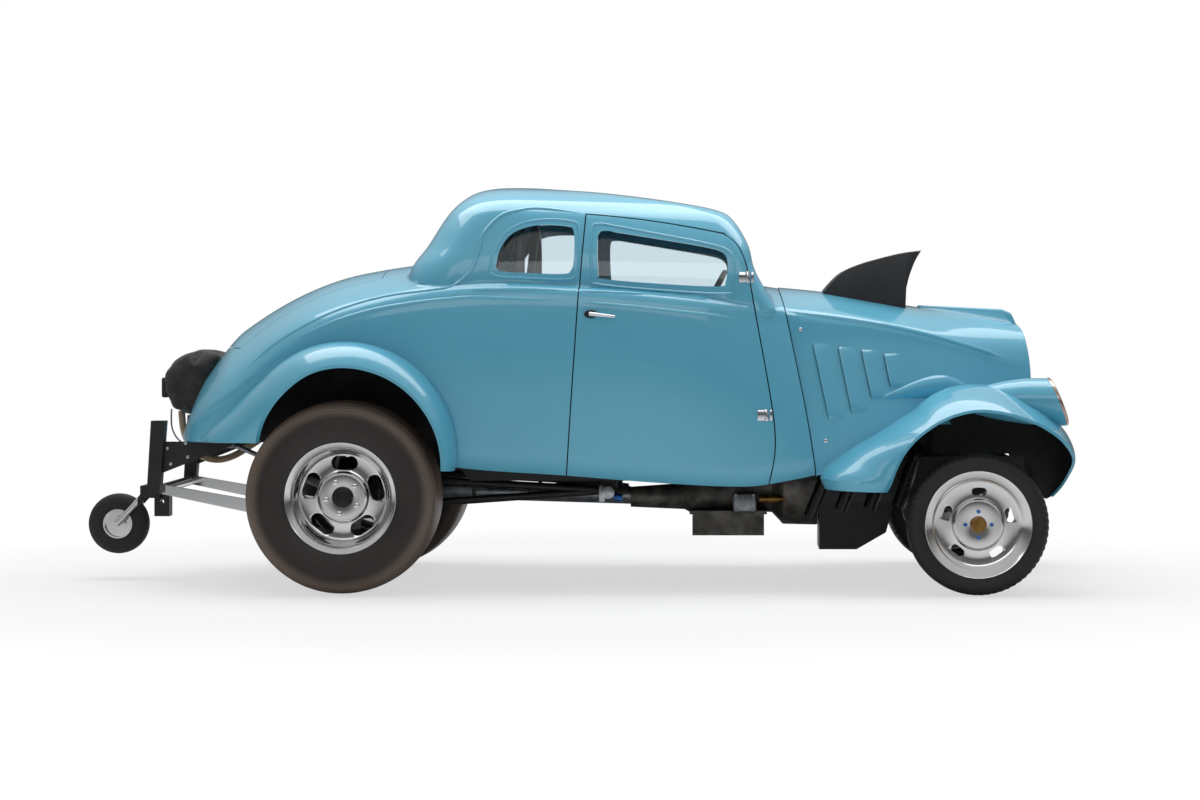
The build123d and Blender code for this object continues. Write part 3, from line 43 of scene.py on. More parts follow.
# The car's sizes, in metres
wheelbase = 2.54
rear_axle_x = -0.884
roof_height = 1.663
body_half_width = 0.690
wall = 0.026
pane_thickness = 0.005
gap = 0.005
rear_wheel_z = 0.391
front_wheel_z = 0.286
small_wheel_centre = (-1.938, 0, 0.236)
tyre_face_y = 0.790
rear_tyre_half_width = 0.170
front_tyre_half_width = 0.084


def sx(share):
    """A place along the car, from a share of the wheelbase ahead of the rear axle."""
    return rear_axle_x + share * wheelbase


def sy(share):
    """A half width, from a share of the body's."""
    return share * body_half_width


def sz(share):
    """A height, from a share of the roof's."""
    return share * roof_height


front_axle_x = sx(1)
# The fenders' arches: centre along the car and up, then radius
rear_arch = (sx(0.0055), 0.535, 0.388)
front_arch = (front_axle_x, 0.400, 0.345)


# Smooth curves through tables and outlines
def bend(a, b, slope_a, slope_b, t):
    """A cubic from a to b with a slope at each end."""
    return ((2 * t ** 3 - 3 * t ** 2 + 1) * a + (t ** 3 - 2 * t ** 2 + t) * slope_a
            + (3 * t ** 2 - 2 * t ** 3) * b + (t ** 3 - t ** 2) * slope_b)


def table_slope(rows, index, column):
    """How fast a column changes at a row, from the rows beside it."""
    low, high = rows[max(index - 1, 0)], rows[min(index + 1, len(rows) - 1)]
    return (high[column] - low[column]) / (high[0] - low[0])


def table_row(rows, place):
    """The table's row at a place, on a smooth curve through its rows."""
    index = 0
    while index < len(rows) - 2 and rows[index + 1][0] < place:
        index += 1
    a, b = rows[index], rows[index + 1]
    span = b[0] - a[0]
    t = min(max((place - a[0]) / span, 0), 1)
    return [bend(a[c], b[c], table_slope(rows, index, c) * span,
                 table_slope(rows, index + 1, c) * span, t) for c in range(1, len(a))]


def curve_through(points, count, closed=False):
    """Points on a smooth curve through a few given ones."""
    total = len(points) if closed else len(points) - 1
    made = []
    for step in range(count):
        at = step * total / (count if closed else count - 1)
        index = min(int(at), total - 1)
        t = at - index
        if closed:
            before, a, b, after = (points[(index + k) % len(points)] for k in (-1, 0, 1, 2))
        else:
            before, after = points[max(index - 1, 0)], points[min(index + 2, total)]
            a, b = points[index], points[index + 1]
        made.append(tuple(bend(a[c], b[c], (b[c] - before[c]) / 2, (after[c] - a[c]) / 2, t)
                          for c in range(len(a))))
    return made


def side_outline(shares):
    """Side-view points in metres from place and height shares."""
    return [(sx(x), sz(z)) for x, z in shares]


# Colours and materials
def colour(text):
    """A linear colour from an sRGB hex value."""
    parts = [int(text[i:i + 2], 16) / 255 for i in (0, 2, 4)]
    linear = [c / 12.92 if c <= 0.04045 else ((c + 0.055) / 1.055) ** 2.4 for c in parts]
    return (*linear, 1.0)


def add_node(tree, kind, inputs=None, **settings):
    """Adds a node with its settings, its values and its links."""
    made = tree.nodes.new(kind)
    for name, value in settings.items():
        setattr(made, name, value)
    for name, value in (inputs or {}).items():
        if isinstance(value, bpy.types.NodeSocket):
            tree.links.new(value, made.inputs[name])
        else:
            made.inputs[name].default_value = value
    return made


def new_finish(name):
    """An empty material and its tree, ready for a surface."""
    made = bpy.data.materials.new(name)
    made.use_nodes = True
    made.node_tree.nodes.clear()
    return made, made.node_tree


def end_finish(tree, values):
    """Gives a material its surface, from that surface's values."""
    surface = add_node(tree, "ShaderNodeBsdfPrincipled", values)
    add_node(tree, "ShaderNodeOutputMaterial", {"Surface": surface.outputs[0]})


def own_place(tree):
    """Where each point of a piece lies in the car's frame."""
    return add_node(tree, "ShaderNodeTexCoord").outputs["Object"]


def split_place(tree):
    """The same place as its X, Y and Z."""
    return add_node(tree, "ShaderNodeSeparateXYZ", {"Vector": own_place(tree)}).outputs


def reckoned(tree, operation, *values, kind="ShaderNodeMath", output=0):
    """One step of arithmetic on values or links."""
    return add_node(tree, kind, dict(enumerate(values)), operation=operation).outputs[output]


def ranged(tree, value, across=(0.0, 1.0), to=(0.0, 1.0), kind="LINEAR"):
    """A value carried from one range to another and held at the ends."""
    return add_node(tree, "ShaderNodeMapRange",
                    {"Value": value, "From Min": across[0], "From Max": across[1],
                     "To Min": to[0], "To Max": to[1]}, interpolation_type=kind).outputs["Result"]


def spots(tree, place, scale, detail=2.0):
    """Soft spots about 1/scale metres across."""
    return add_node(tree, "ShaderNodeTexNoise",
                    {"Vector": place, "Scale": scale, "Detail": detail}).outputs["Fac"]


def toned(tree, share, low, high, ends=(0.0, 1.0)):
    """A colour between two tones, as far along as a share."""
    ramp = add_node(tree, "ShaderNodeValToRGB", {"Fac": share})
    for stop, at, tone in zip(ramp.color_ramp.elements, ends, (low, high)):
        stop.position, stop.color = at, colour(tone)
    return ramp.outputs["Color"]


def embossed(tree, pattern, height, strength=1.0):
    """A bump as high as given, in metres, where a pattern rises."""
    return add_node(tree, "ShaderNodeBump", {"Height": pattern, "Distance": height,
                                             "Strength": strength}).outputs["Normal"]


def mottled(tree, low, high, scale, detail=6.0):
    """A colour that wanders between two, with spots about 1/scale metres across."""
    return toned(tree, spots(tree, own_place(tree), scale, detail), low, high, (0.35, 0.65))


def grain(tree, scale, height, detail=4.0):
    """A fine bump of lumps about 1/scale metres across and as high as given, in metres."""
    return embossed(tree, spots(tree, own_place(tree), scale, detail), height)


def simple_finish(name, low, high, scale, metallic, roughness, bump_scale, bump_height):
    """A finish with wandering colour, duller patches and a fine surface grain."""
    made, tree = new_finish(name)
    patches = spots(tree, own_place(tree), scale * 2.5)
    end_finish(tree, {
        "Base Color": mottled(tree, low, high, scale), "Metallic": metallic,
        "Roughness": ranged(tree, patches, to=(roughness * 0.8, min(roughness * 1.25, 1.0))),
        "Normal": grain(tree, bump_scale, bump_height)})
    return made


def body_enamel():
    """Light blue acrylic enamel under clear coat: an even colour, faint orange peel and clear
    soft reflections."""
    made, tree = new_finish("light_blue_enamel")
    end_finish(tree, {
        "Base Color": mottled(tree, "57AFCD", "5BB3D0", 1.6, 2.0), "Roughness": 0.38,
        "Normal": grain(tree, 160.0, 0.00002, 2.0), "Coat Weight": 1.0, "Coat Roughness": 0.05})
    return made


def tyre_rubber(name, wall_tone, tread_tone, roughness, centre, worn_edge):
    """Worn tyre rubber: black sidewall with fine rings, browner and greyer towards the tread."""
    made, tree = new_finish(name)
    place = own_place(tree)
    shifted = reckoned(tree, "SUBTRACT", place, centre, kind="ShaderNodeVectorMath")
    flat = reckoned(tree, "MULTIPLY", shifted, (1, 0, 1), kind="ShaderNodeVectorMath")
    radius = reckoned(tree, "LENGTH", flat, kind="ShaderNodeVectorMath", output="Value")
    rings = add_node(tree, "ShaderNodeTexNoise", {"W": radius, "Scale": 260.0, "Detail": 6.0},
                     noise_dimensions="1D").outputs["Fac"]
    worn = ranged(tree, radius, worn_edge, kind="SMOOTHSTEP")
    scuffed = reckoned(tree, "MULTIPLY", worn, ranged(tree, rings, (0.3, 0.7), (0.35, 1.15)))
    amount = reckoned(tree, "MULTIPLY_ADD", spots(tree, place, 7.0, 8.0), 0.12, scuffed)
    lumps = reckoned(tree, "MULTIPLY_ADD", rings, 1.4, spots(tree, place, 300.0, 4.0))
    end_finish(tree, {
        "Base Color": toned(tree, amount, wall_tone, tread_tone), "Roughness": roughness,
        "Normal": embossed(tree, lumps, 0.0005), "Specular IOR Level": 0.4})
    return made


def clear_glass():
    """Clear safety glass: a pale blue tint and sharp thin reflections."""
    made, tree = new_finish("clear_safety_glass")
    end_finish(tree, {
        "Base Color": colour("E6F1F5"), "Roughness": 0.0, "Transmission Weight": 1.0, "IOR": 1.45,
        "Normal": grain(tree, 2.0, 0.0001, 1.0)})
    return made


def woven(name, low, high, thread, roughness, sheen):
    """Woven nylon: over-and-under threads, a soft sheen and scuffed folds."""
    made, tree = new_finish(name)
    parts = split_place(tree)
    across = reckoned(tree, "ADD", parts["X"], parts["Z"])
    waves = [reckoned(tree, "SINE", reckoned(tree, "MULTIPLY", axis, math.pi / thread))
             for axis in (across, parts["Y"])]
    end_finish(tree, {
        "Base Color": mottled(tree, low, high, 14.0, 8.0), "Roughness": roughness,
        "Normal": embossed(tree, reckoned(tree, "MULTIPLY", *waves), thread * 0.3, 0.8),
        "Sheen Weight": sheen})
    return made


def bars_finish(receiver_rear, receiver_front):
    """Chromed bars and a bare steel fork, with the receiver between them in black paint."""
    made, tree = new_finish("chromed_bars_and_black_receiver")
    along = split_place(tree)["X"]
    painted = reckoned(tree, "MULTIPLY", reckoned(tree, "LESS_THAN", along, receiver_front),
                       reckoned(tree, "GREATER_THAN", along, receiver_rear))
    end_finish(tree, {
        "Base Color": toned(tree, painted, "D2D4D6", "101113"),
        "Metallic": ranged(tree, painted, to=(1.0, 0.0)),
        "Roughness": ranged(tree, painted, to=(0.10, 0.36)), "Normal": grain(tree, 260.0, 0.00003)})
    return made


enamel = body_enamel()
glass = clear_glass()
# Tyres: tones of wall and tread, roughness, centre, and radii where wall turns to dusty tread
slick_rubber = tyre_rubber("worn_slick_rubber", "211E1D", "716257", 0.42,
                           (rear_axle_x, 0, rear_wheel_z), (0.316, 0.356))
road_rubber = tyre_rubber("road_tyre_rubber", "1A1918", "2E2B29", 0.52,
                          (front_axle_x, 0, front_wheel_z), (0.262, 0.290))
small_rubber = tyre_rubber("small_wheel_rubber", "1E1D1C", "383431", 0.6,
                           small_wheel_centre, (0.100, 0.130))
chromed_bars = bars_finish(-1.845, -1.684)
# The rest: two tones, spots to the metre, metallic, roughness, grain to the metre and its height
polished_alloy = simple_finish("polished_cast_aluminium", "CDCDCE", "DAD9D8", 6.0, 1.0, 0.11,
                               300.0, 0.00001)
lamp_bezel = simple_finish("copper_tinged_bezel", "A88C7E", "C2A99C", 20.0, 1.0, 0.22,
                           200.0, 0.00002)
chrome_plate = simple_finish("bright_chrome_plate", "D6DADF", "E2E5E9", 8.0, 1.0, 0.06,
                             90.0, 0.00001)
dark_cast = simple_finish("dark_cast_centre", "1A1A1C", "2A2A2C", 30.0, 0.6, 0.38, 300.0, 0.0002)
frame_black = simple_finish("satin_black_chassis_paint", "0F1011", "17181A", 12.0, 0.0, 0.42,
                            260.0, 0.00008)
inside_black = simple_finish("flat_black_undercoat", "0F1011", "191A1B", 10.0, 0.0, 0.75,
                             120.0, 0.0006)
scoop_paint = simple_finish("charcoal_gelcoat", "1C1E21", "25272B", 5.0, 0.0, 0.34, 140.0, 0.00003)
header_black = simple_finish("high_heat_black", "0C0C0D", "161516", 22.0, 0.3, 0.28, 350.0, 0.00008)
cast_alloy = simple_finish("weathered_cast_aluminium", "4D4A47", "7C7872", 16.0, 0.7, 0.5,
                           330.0, 0.0006)
bare_steel = simple_finish("bare_turned_steel", "7B7F84", "9A9EA3", 24.0, 0.9, 0.34, 500.0, 0.00008)
engine_paint = simple_finish("engine_enamel", "23252A", "30343A", 14.0, 0.1, 0.4, 180.0, 0.0003)
seat_vinyl = simple_finish("black_seat_vinyl", "141416", "1E1E21", 20.0, 0.0, 0.5, 700.0, 0.0003)
zinc_plate = simple_finish("zinc_plated_fasteners", "9FA3A6", "BDC1C4", 40.0, 0.9, 0.3,
                           500.0, 0.00005)
brass_plate = simple_finish("aged_brass", "7A5C33", "9C7842", 30.0, 0.9, 0.35, 300.0, 0.0001)
blue_fitting = simple_finish("blue_anodised_fitting", "2F5FA8", "3E74C4", 30.0, 0.8, 0.3,
                             300.0, 0.0001)
pack_cloth = woven("black_pack_nylon", "191716", "332C29", 0.0016, 0.8, 0.25)
strap_cloth = woven("tan_strap_webbing", "A08A6C", "C2AE90", 0.0022, 0.85, 0.3)


# Making pieces
def as_mesh(shape, name="passing"):
    """A shape turned into a mesh, and used up."""
    mesh = bpy.data.meshes.new(name)
    shape.to_mesh(mesh)
    shape.free()
    return mesh


def as_shape(mesh):
    """A mesh turned back into a shape, and used up."""
    shape = bmesh.new()
    shape.from_mesh(mesh)
    bpy.data.meshes.remove(mesh)
    return shape


def placed(name, data):
    """An object in the scene, from its mesh, curve, camera or lamp."""
    made = bpy.data.objects.new(name, data)
    scene.collection.objects.link(made)
    return made


def worked_mesh(made):
    """The mesh that an object's curve or modifiers give."""
    state = bpy.context.evaluated_depsgraph_get()
    return bpy.data.meshes.new_from_object(made.evaluated_get(state))


def finished(name, shape, finish, body, *stands_for, crease=32):
    """Turns a shape into a named piece with its finish, on the body that carries it."""
    made = placed(name, as_mesh(shape, name))
    made.data.materials.append(finish)
    made.data.shade_smooth()
    made.data.set_sharp_from_angle(angle=math.radians(crease))
    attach(made, body)
    if stands_for:
        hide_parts(*stands_for)
    return made


def laid_grid(columns, rows, place):
    """A grid laid over a form: place gives the point for two shares from 0 to 1."""
    shape = bmesh.new()
    bmesh.ops.create_grid(shape, x_segments=columns, y_segments=rows, size=0.5)
    for vert in shape.verts:
        vert.co = place(round(vert.co.x + 0.5, 6), round(vert.co.y + 0.5, 6))
    bmesh.ops.remove_doubles(shape, verts=shape.verts, dist=1e-6)
    return shape


def capped(shape):
    """Closes a shape's open ends and turns its faces outwards."""
    bmesh.ops.holes_fill(shape, edges=shape.edges, sides=0)
    bmesh.ops.recalc_face_normals(shape, faces=shape.faces)
    return shape


def backed(sheet, thickness):
    """Gives a sheet an inner face at one thickness and closes its rim."""
    sheet.normal_update()
    rim = [(edge.verts[0], edge.verts[1], edge.link_faces[0])
           for edge in sheet.edges if edge.is_boundary]
    outer_faces = list(sheet.faces)
    inner = {vert: sheet.verts.new(vert.co - vert.normal * thickness) for vert in list(sheet.verts)}
    for face in outer_faces:
        sheet.faces.new([inner[vert] for vert in reversed(face.verts)])
    for first, second, face in rim:
        order = list(face.verts)
        if order[(order.index(first) + 1) % len(order)] != second:
            first, second = second, first
        sheet.faces.new((second, first, inner[first], inner[second]))
    bmesh.ops.recalc_face_normals(sheet, faces=sheet.faces)
    return sheet


def mirrored_copy(shape):
    """The same shape on the car's other side."""
    other = shape.copy()
    bmesh.ops.scale(other, vec=(1, -1, 1), verts=other.verts)
    bmesh.ops.reverse_faces(other, faces=other.faces)
    return other


def joined(*shapes):
    """Several shapes as one."""
    first = shapes[0]
    for other in shapes[1:]:
        mesh = as_mesh(other)
        first.from_mesh(mesh)
        bpy.data.meshes.remove(mesh)
    return first


def on_both_sides(shape):
    """A shape with its mirror image on the car's other side."""
    return joined(shape, mirrored_copy(shape))


def door_pieces(name, shape, finish, *stands_for):
    """A right door's piece and its mirror image, each on its own door."""
    for side, made in (("right", shape.copy()), ("left", mirrored_copy(shape))):
        finished(name + "_" + side, made, finish, "door_" + side + "_body",
                 *(node + "_" + side for node in stands_for))


def prism(outline, y0, y1):
    """A side-view outline carried from one y to another."""
    shape = bmesh.new()
    face = shape.faces.new([shape.verts.new((x, y0, z)) for x, z in outline])
    grown = bmesh.ops.extrude_face_region(shape, geom=[face])
    moved = [item for item in grown["geom"] if isinstance(item, bmesh.types.BMVert)]
    bmesh.ops.translate(shape, vec=(0, y1 - y0, 0), verts=moved)
    bmesh.ops.recalc_face_normals(shape, faces=shape.faces)
    return shape


def box(x0, x1, y0, y1, z0, z1):
    """A box from its low and high places along, across and up."""
    shape = bmesh.new()
    bmesh.ops.create_cube(shape, size=1.0)
    bmesh.ops.scale(shape, vec=(x1 - x0, y1 - y0, z1 - z0), verts=shape.verts)
    bmesh.ops.translate(shape, vec=((x0 + x1) / 2, (y0 + y1) / 2, (z0 + z1) / 2), verts=shape.verts)
    return shape


def round_bar(start, end, radius, sides=20, end_radius=None):
    """A round bar, or a taper, from one point to another."""
    start, end = Vector(start), Vector(end)
    shape = bmesh.new()
    bmesh.ops.create_cone(shape, cap_ends=True, segments=sides, radius1=radius,
                          radius2=radius if end_radius is None else end_radius,
                          depth=(end - start).length)
    turn = (end - start).to_track_quat("Z", "Y").to_matrix().to_4x4()
    move = Matrix.Translation((start + end) / 2) @ turn
    bmesh.ops.transform(shape, matrix=move, verts=shape.verts)
    return shape


def rounded(shape, edges, width, segments):
    """Bevels some of a shape's edges."""
    bmesh.ops.bevel(shape, geom=edges, offset=width, offset_type="OFFSET", segments=segments,
                    profile=0.5, affect="EDGES", clamp_overlap=True, material=-1)
    return shape


def softened(shape, width, segments=2):
    """Bevels a shape's sharp edges."""
    sharp = [edge for edge in shape.edges
             if len(edge.link_faces) == 2 and edge.calc_face_angle() > 0.5]
    return rounded(shape, sharp, width, segments)


def cut(shape, tool, operation="DIFFERENCE"):
    """One shape cut, joined or kept by another. Both are used up."""
    pair = [placed("passing", as_mesh(item)) for item in (shape, tool)]
    change = pair[0].modifiers.new("cut", "BOOLEAN")
    change.operation = operation
    change.solver = "EXACT"
    change.object = pair[1]
    left = as_shape(worked_mesh(pair[0]))
    for item in pair:
        mesh = item.data
        bpy.data.objects.remove(item)
        bpy.data.meshes.remove(mesh)
    return left


def smooth_like(piece, source, reach=0.004, likeness=0.8):
    """Gives a cut piece the unbroken shading of the skin that it was cut from, wherever it
    lies within reach of that skin and faces as it does."""
    tree = BVHTree.FromBMesh(source)
    source.faces.ensure_lookup_table()
    mesh = piece.data
    normals = [Vector(item.vector) for item in mesh.corner_normals]
    for polygon in mesh.polygons:
        _, facing, index, distance = tree.find_nearest(polygon.center)
        if index is None or distance > reach or facing.dot(polygon.normal) < likeness:
            continue
        for corner in polygon.loop_indices:
            spot = mesh.vertices[mesh.loops[corner].vertex_index].co
            near, _, index, _ = tree.find_nearest(spot)
            face = source.faces[index]
            weights = [1 / ((vert.co - near).length ** 2 + 1e-9) for vert in face.verts]
            blended = Vector((0, 0, 0))
            for vert, weight in zip(face.verts, weights):
                blended += vert.normal * weight
            normals[corner] = blended.normalized()
    mesh.normals_split_custom_set(normals)
    return piece


# Camera: it stands where the photograph was taken from
lens = bpy.data.cameras.new("camera")
lens.sensor_width = 36.0
lens.lens = 78.54
lens.shift_x = -0.1008
lens.shift_y = -0.0583
lens.clip_end = 100.0
camera = placed("camera", lens)
camera.location = (0.631, -11.180, 1.061)
camera.rotation_euler = (math.radians(90), 0, 0)
scene.camera = camera


# Cords: the parachute's tether strap and its release cable
strap_points = [(x, 0, z) for x, z in (
    (-1.672, 0.716), (-1.669, 0.660), (-1.656, 0.602), (-1.622, 0.547), (-1.570, 0.513),
    (-1.504, 0.505), (-1.440, 0.527), (-1.384, 0.564), (-1.3211, 0.604))]
cable_points = [(x, -0.070, z) for x, z in (
    (-1.700, 0.726), (-1.703, 0.684), (-1.698, 0.636), (-1.672, 0.592), (-1.622, 0.566),
    (-1.562, 0.560), (-1.502, 0.570), (-1.442, 0.588), (-1.382, 0.600), (-1.3211, 0.604))]
strap_diameter, cable_diameter = 0.030, 0.007


def round_curve(name, kind, points, radius, roundness):
    """A round curve and its one spline, through points."""
    data = bpy.data.curves.new(name, "CURVE")
    data.dimensions = "3D"
    data.bevel_depth = radius
    data.bevel_resolution = roundness
    data.use_fill_caps = True
    spline = data.splines.new(kind)
    spline.points.add(len(points) - 1)
    for point, spot in zip(spline.points, points):
        point.co = (*spot, 1.0)
    return data, spline


def free_cord(name, points, radius, finish):
    """A cord on one smooth spline, held by its route's points."""
    data, spline = round_curve(name, "NURBS", points, radius, 5)
    data.resolution_u = 8
    spline.order_u = 3
    spline.use_endpoint_u = True
    data.materials.append(finish)
    made = placed(name, data)
    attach(made, "chassis")
    return made


strap = free_cord("tether_strap_webbing", strap_points, 0.0145, strap_cloth)
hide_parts("tether_strap")
cable = free_cord("release_cable_sheath", cable_points, cable_diameter / 2, bare_steel)
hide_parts("release_cable")


# Lower body. Columns: place, sill half width and height, belt half width and height,
# shoulder half width and height, crown height. All are shares, as in the source.
body_rows = [
    (-0.292, 0.28, 0.362, 0.30, 0.370, 0.28, 0.376, 0.392),
    (-0.280, 0.48, 0.362, 0.47, 0.380, 0.42, 0.398, 0.440),
    (-0.262, 0.62, 0.362, 0.59, 0.405, 0.52, 0.440, 0.512),
    (-0.230, 0.72, 0.362, 0.72, 0.445, 0.64, 0.485, 0.582),
    (-0.195, 0.80, 0.362, 0.81, 0.480, 0.74, 0.525, 0.641),
    (-0.095, 0.87, 0.362, 0.89, 0.600, 0.82, 0.640, 0.733),
    (0.006, 0.92, 0.350, 0.94, 0.672, 0.86, 0.706, 0.784),
    (0.175, 0.95, 0.306, 0.985, 0.713, 0.93, 0.746, 0.810),
    (0.352, 0.95, 0.286, 1.00, 0.709, 0.955, 0.742, 0.760),
    (0.520, 0.94, 0.266, 0.985, 0.686, 0.94, 0.722, 0.752),
    (0.640, 0.92, 0.259, 0.895, 0.664, 0.865, 0.700, 0.755),
    (0.702, 0.90, 0.272, 0.825, 0.655, 0.795, 0.690, 0.743),
    (0.760, 0.87, 0.290, 0.755, 0.650, 0.725, 0.683, 0.733),
]
# Cab. Columns: step, level, rear and front place, rear and front half width, rear and front corner
cab_rows = [(step, *row) for step, row in enumerate([
    (0.680, 0.085, 0.690, 0.93, 0.87, 0.30, 0.10),
    (0.780, 0.094, 0.652, 0.925, 0.87, 0.34, 0.11),
    (0.845, 0.122, 0.640, 0.90, 0.84, 0.36, 0.12),
    (0.905, 0.146, 0.618, 0.875, 0.76, 0.38, 0.16),
    (0.935, 0.160, 0.590, 0.85, 0.68, 0.40, 0.22),
    (0.960, 0.176, 0.510, 0.77, 0.60, 0.42, 0.30),
    (0.982, 0.196, 0.410, 0.60, 0.44, 0.45, 0.40),
    (0.995, 0.222, 0.320, 0.36, 0.24, 0.50, 0.50),
    (1.000, 0.255, 0.290, 0.10, 0.08, 0.50, 0.50),
])]
# Nose. Columns: place, crown height, shoulder half width and height, low half width and height
nose_rows = [
    (0.680, 0.749, 0.795, 0.688, 0.905, 0.270),
    (0.761, 0.737, 0.700, 0.673, 0.860, 0.290),
    (0.840, 0.718, 0.610, 0.656, 0.770, 0.370),
    (0.919, 0.699, 0.510, 0.632, 0.660, 0.400),
    (0.998, 0.680, 0.400, 0.600, 0.540, 0.400),
    (1.057, 0.665, 0.325, 0.572, 0.430, 0.360),
    (1.120, 0.645, 0.240, 0.545, 0.320, 0.330),
]


def arc_over(half, level, crown, steps):
    """Points of a low arc from a shoulder up to the middle line."""
    rise = max(crown - level, 0.001)
    radius = (half ** 2 + rise ** 2) / (2 * rise)
    sweep = math.asin(min(half / radius, 1))
    angles = [sweep * (1 - k / steps) for k in range(1, steps + 1)]
    return [(radius * math.sin(angle), crown - radius + radius * math.cos(angle))
            for angle in angles]


section_steps = 26
inner_drop = 0.04


def half_to_ring(half):
    """A whole section from its left half, right sill to left sill."""
    points = curve_through(half, section_steps)
    return [(-y, z) for y, z in points] + [(y, z) for y, z in reversed(points[:-1])]


def body_ring(place, inset):
    """The lower body's section at a place. An inset section lies inside it and reaches lower."""
    sill_w, sill_z, belt_w, belt_z, bead_w, bead_z, crown = table_row(body_rows, place)
    low = (sy(sill_w) - inset, sz(sill_z) - (inner_drop if inset else 0))
    belt = (sy(belt_w) - inset, sz(belt_z))
    bead = (sy(bead_w) - inset, sz(bead_z) - inset / 2)
    height = belt[1] - low[1]
    swell = 0.03 * height
    middle = ((low[0] + belt[0]) / 2 + swell, (low[1] + belt[1]) / 2)
    upper = (low[0] * 0.18 + belt[0] * 0.82 + swell * 0.6, low[1] * 0.18 + belt[1] * 0.82)
    return half_to_ring([low, middle, upper, belt, bead] + arc_over(*bead, sz(crown) - inset, 4))


def nose_ring(place, inset):
    """The nose's section at a place. An inset section lies inside it and reaches lower."""
    crown, bead_w, bead_z, low_w, low_z = table_row(nose_rows, place)
    low = (sy(low_w) - inset, sz(low_z) - (inner_drop if inset else 0))
    bead = (sy(bead_w) - inset, sz(bead_z) - inset / 2)
    middle = ((low[0] + bead[0]) / 2, (low[1] + bead[1]) / 2)
    upper = (low[0] * 0.15 + bead[0] * 0.85, low[1] * 0.15 + bead[1] * 0.85)
    return half_to_ring([low, middle, upper, bead] + arc_over(*bead, sz(crown) - inset, 4))


def lofted(ring, first, last, columns, inset):
    """A closed solid over sections between two places."""
    rings = {}
    rows = 2 * section_steps

    def place(u, v):
        if u not in rings:
            at = first + (last - first) * u
            rings[u] = (at, ring(at, inset))
        at, points = rings[u]
        y, z = points[round(v * (rows - 1)) % len(points)]
        return (sx(at), y, z)

    return capped(laid_grid(columns, rows - 1, place))


corner_steps, side_steps = 8, 12
corner_pull = 0.56
bow_limit = 0.010


def cab_ring(step, inset):
    """The cab's level outline at a step of its table, with rounded corners and bowed sides."""
    level, rear, front, rear_w, front_w, rear_round, front_round = table_row(cab_rows, step)
    rear_y, front_y = sy(rear_w) - inset, sy(front_w) - inset
    rear_x, front_x = sx(rear) + inset, sx(front) - inset
    corners = [
        (front_x, -front_y, front_round * front_y), (front_x, front_y, front_round * front_y),
        (rear_x, rear_y, rear_round * rear_y), (rear_x, -rear_y, rear_round * rear_y),
    ]
    points = []
    for index, (x, y, size) in enumerate(corners):
        here = Vector((x, y))
        before, ahead = corners[index - 1], corners[(index + 1) % 4]
        after = Vector(ahead[:2])
        start = here + (Vector(before[:2]) - here).normalized() * size
        end = here + (after - here).normalized() * size
        for k in range(corner_steps + 1):
            t = k / corner_steps
            hold_a, hold_b = start.lerp(here, corner_pull), end.lerp(here, corner_pull)
            a, b, c = start.lerp(hold_a, t), hold_a.lerp(hold_b, t), hold_b.lerp(end, t)
            points.append(a.lerp(b, t).lerp(b.lerp(c, t), t))
        far = after + (here - after).normalized() * ahead[2]
        outwards = Vector(((after - here).y, -(after - here).x)).normalized()
        bow = outwards * min(bow_limit, (far - end).length * 0.01)
        for k in range(1, side_steps):
            t = k / side_steps
            points.append(end.lerp(far, t) + bow * math.sin(math.pi * t))
    height = sz(level) - (inset if step > 0 else 0)
    return height, points


def cab_solid(inset, last_step):
    """The cab as a closed form up to a step of its table, drawn in by an inset."""
    rings = {}

    def place(u, v):
        if u not in rings:
            rings[u] = cab_ring(last_step * u, inset)
        height, points = rings[u]
        point = points[round(v * len(points)) % len(points)]
        return (point.x, point.y, height)

    return capped(laid_grid(72, 4 * (corner_steps + side_steps), place))


outer_skin = cut(lofted(body_ring, -0.292, 0.760, 120, 0), cab_solid(0, 8), "UNION")
inner_skin = cut(lofted(body_ring, -0.282, 0.760, 60, wall), cab_solid(wall, 6), "UNION")
bmesh.ops.recalc_face_normals(outer_skin, faces=outer_skin.faces)
skin_tree = BVHTree.FromBMesh(outer_skin)

door_rear = [(0.352, 0.20), (0.353, 0.29), (0.366, 0.581), (0.374, 0.764), (0.382, 0.920)]
door_front = [
    (0.600, 0.872), (0.618, 0.852), (0.632, 0.815), (0.641, 0.759), (0.652, 0.665), (0.665, 0.556),
    (0.675, 0.467), (0.681, 0.398), (0.681, 0.338), (0.674, 0.280), (0.660, 0.20),
]
door_window = [
    (0.402, 0.775), (0.410, 0.762), (0.503, 0.750), (0.592, 0.744), (0.604, 0.756), (0.607, 0.804),
    (0.598, 0.828), (0.568, 0.841), (0.503, 0.858), (0.438, 0.874), (0.412, 0.879), (0.401, 0.866),
]
quarter_window = [
    (0.245, 0.782), (0.241, 0.807), (0.248, 0.842), (0.264, 0.872), (0.290, 0.889), (0.319, 0.894),
    (0.350, 0.891), (0.362, 0.878), (0.363, 0.812), (0.358, 0.782), (0.345, 0.774), (0.297, 0.776),
]
roof_line = [
    (0.070, 0.750), (0.162, 0.750), (0.192, 0.775), (0.214, 0.843), (0.228, 0.900), (0.246, 0.917),
    (0.279, 0.932), (0.311, 0.935), (0.372, 0.925), (0.386, 0.850), (0.80, 0.850), (0.80, 1.20),
    (0.070, 1.20),
]
seam = [
    (0.693, 0.737), (0.702, 0.673), (0.715, 0.577), (0.730, 0.465), (0.741, 0.370), (0.748, 0.297),
]
# Openings seen from the front: from and to along the car, half width, from and to in height, corner
windscreen = (sx(0.5), sx(0.9), 0.470, 1.272, 1.408, 0.05)
rear_window = (sx(-0.1), sx(0.3), 0.250, 1.395, 1.500, 0.045)
grille_hole = (sx(1.02), sx(1.2), 0.118, 0.640, 0.960, 0.04)
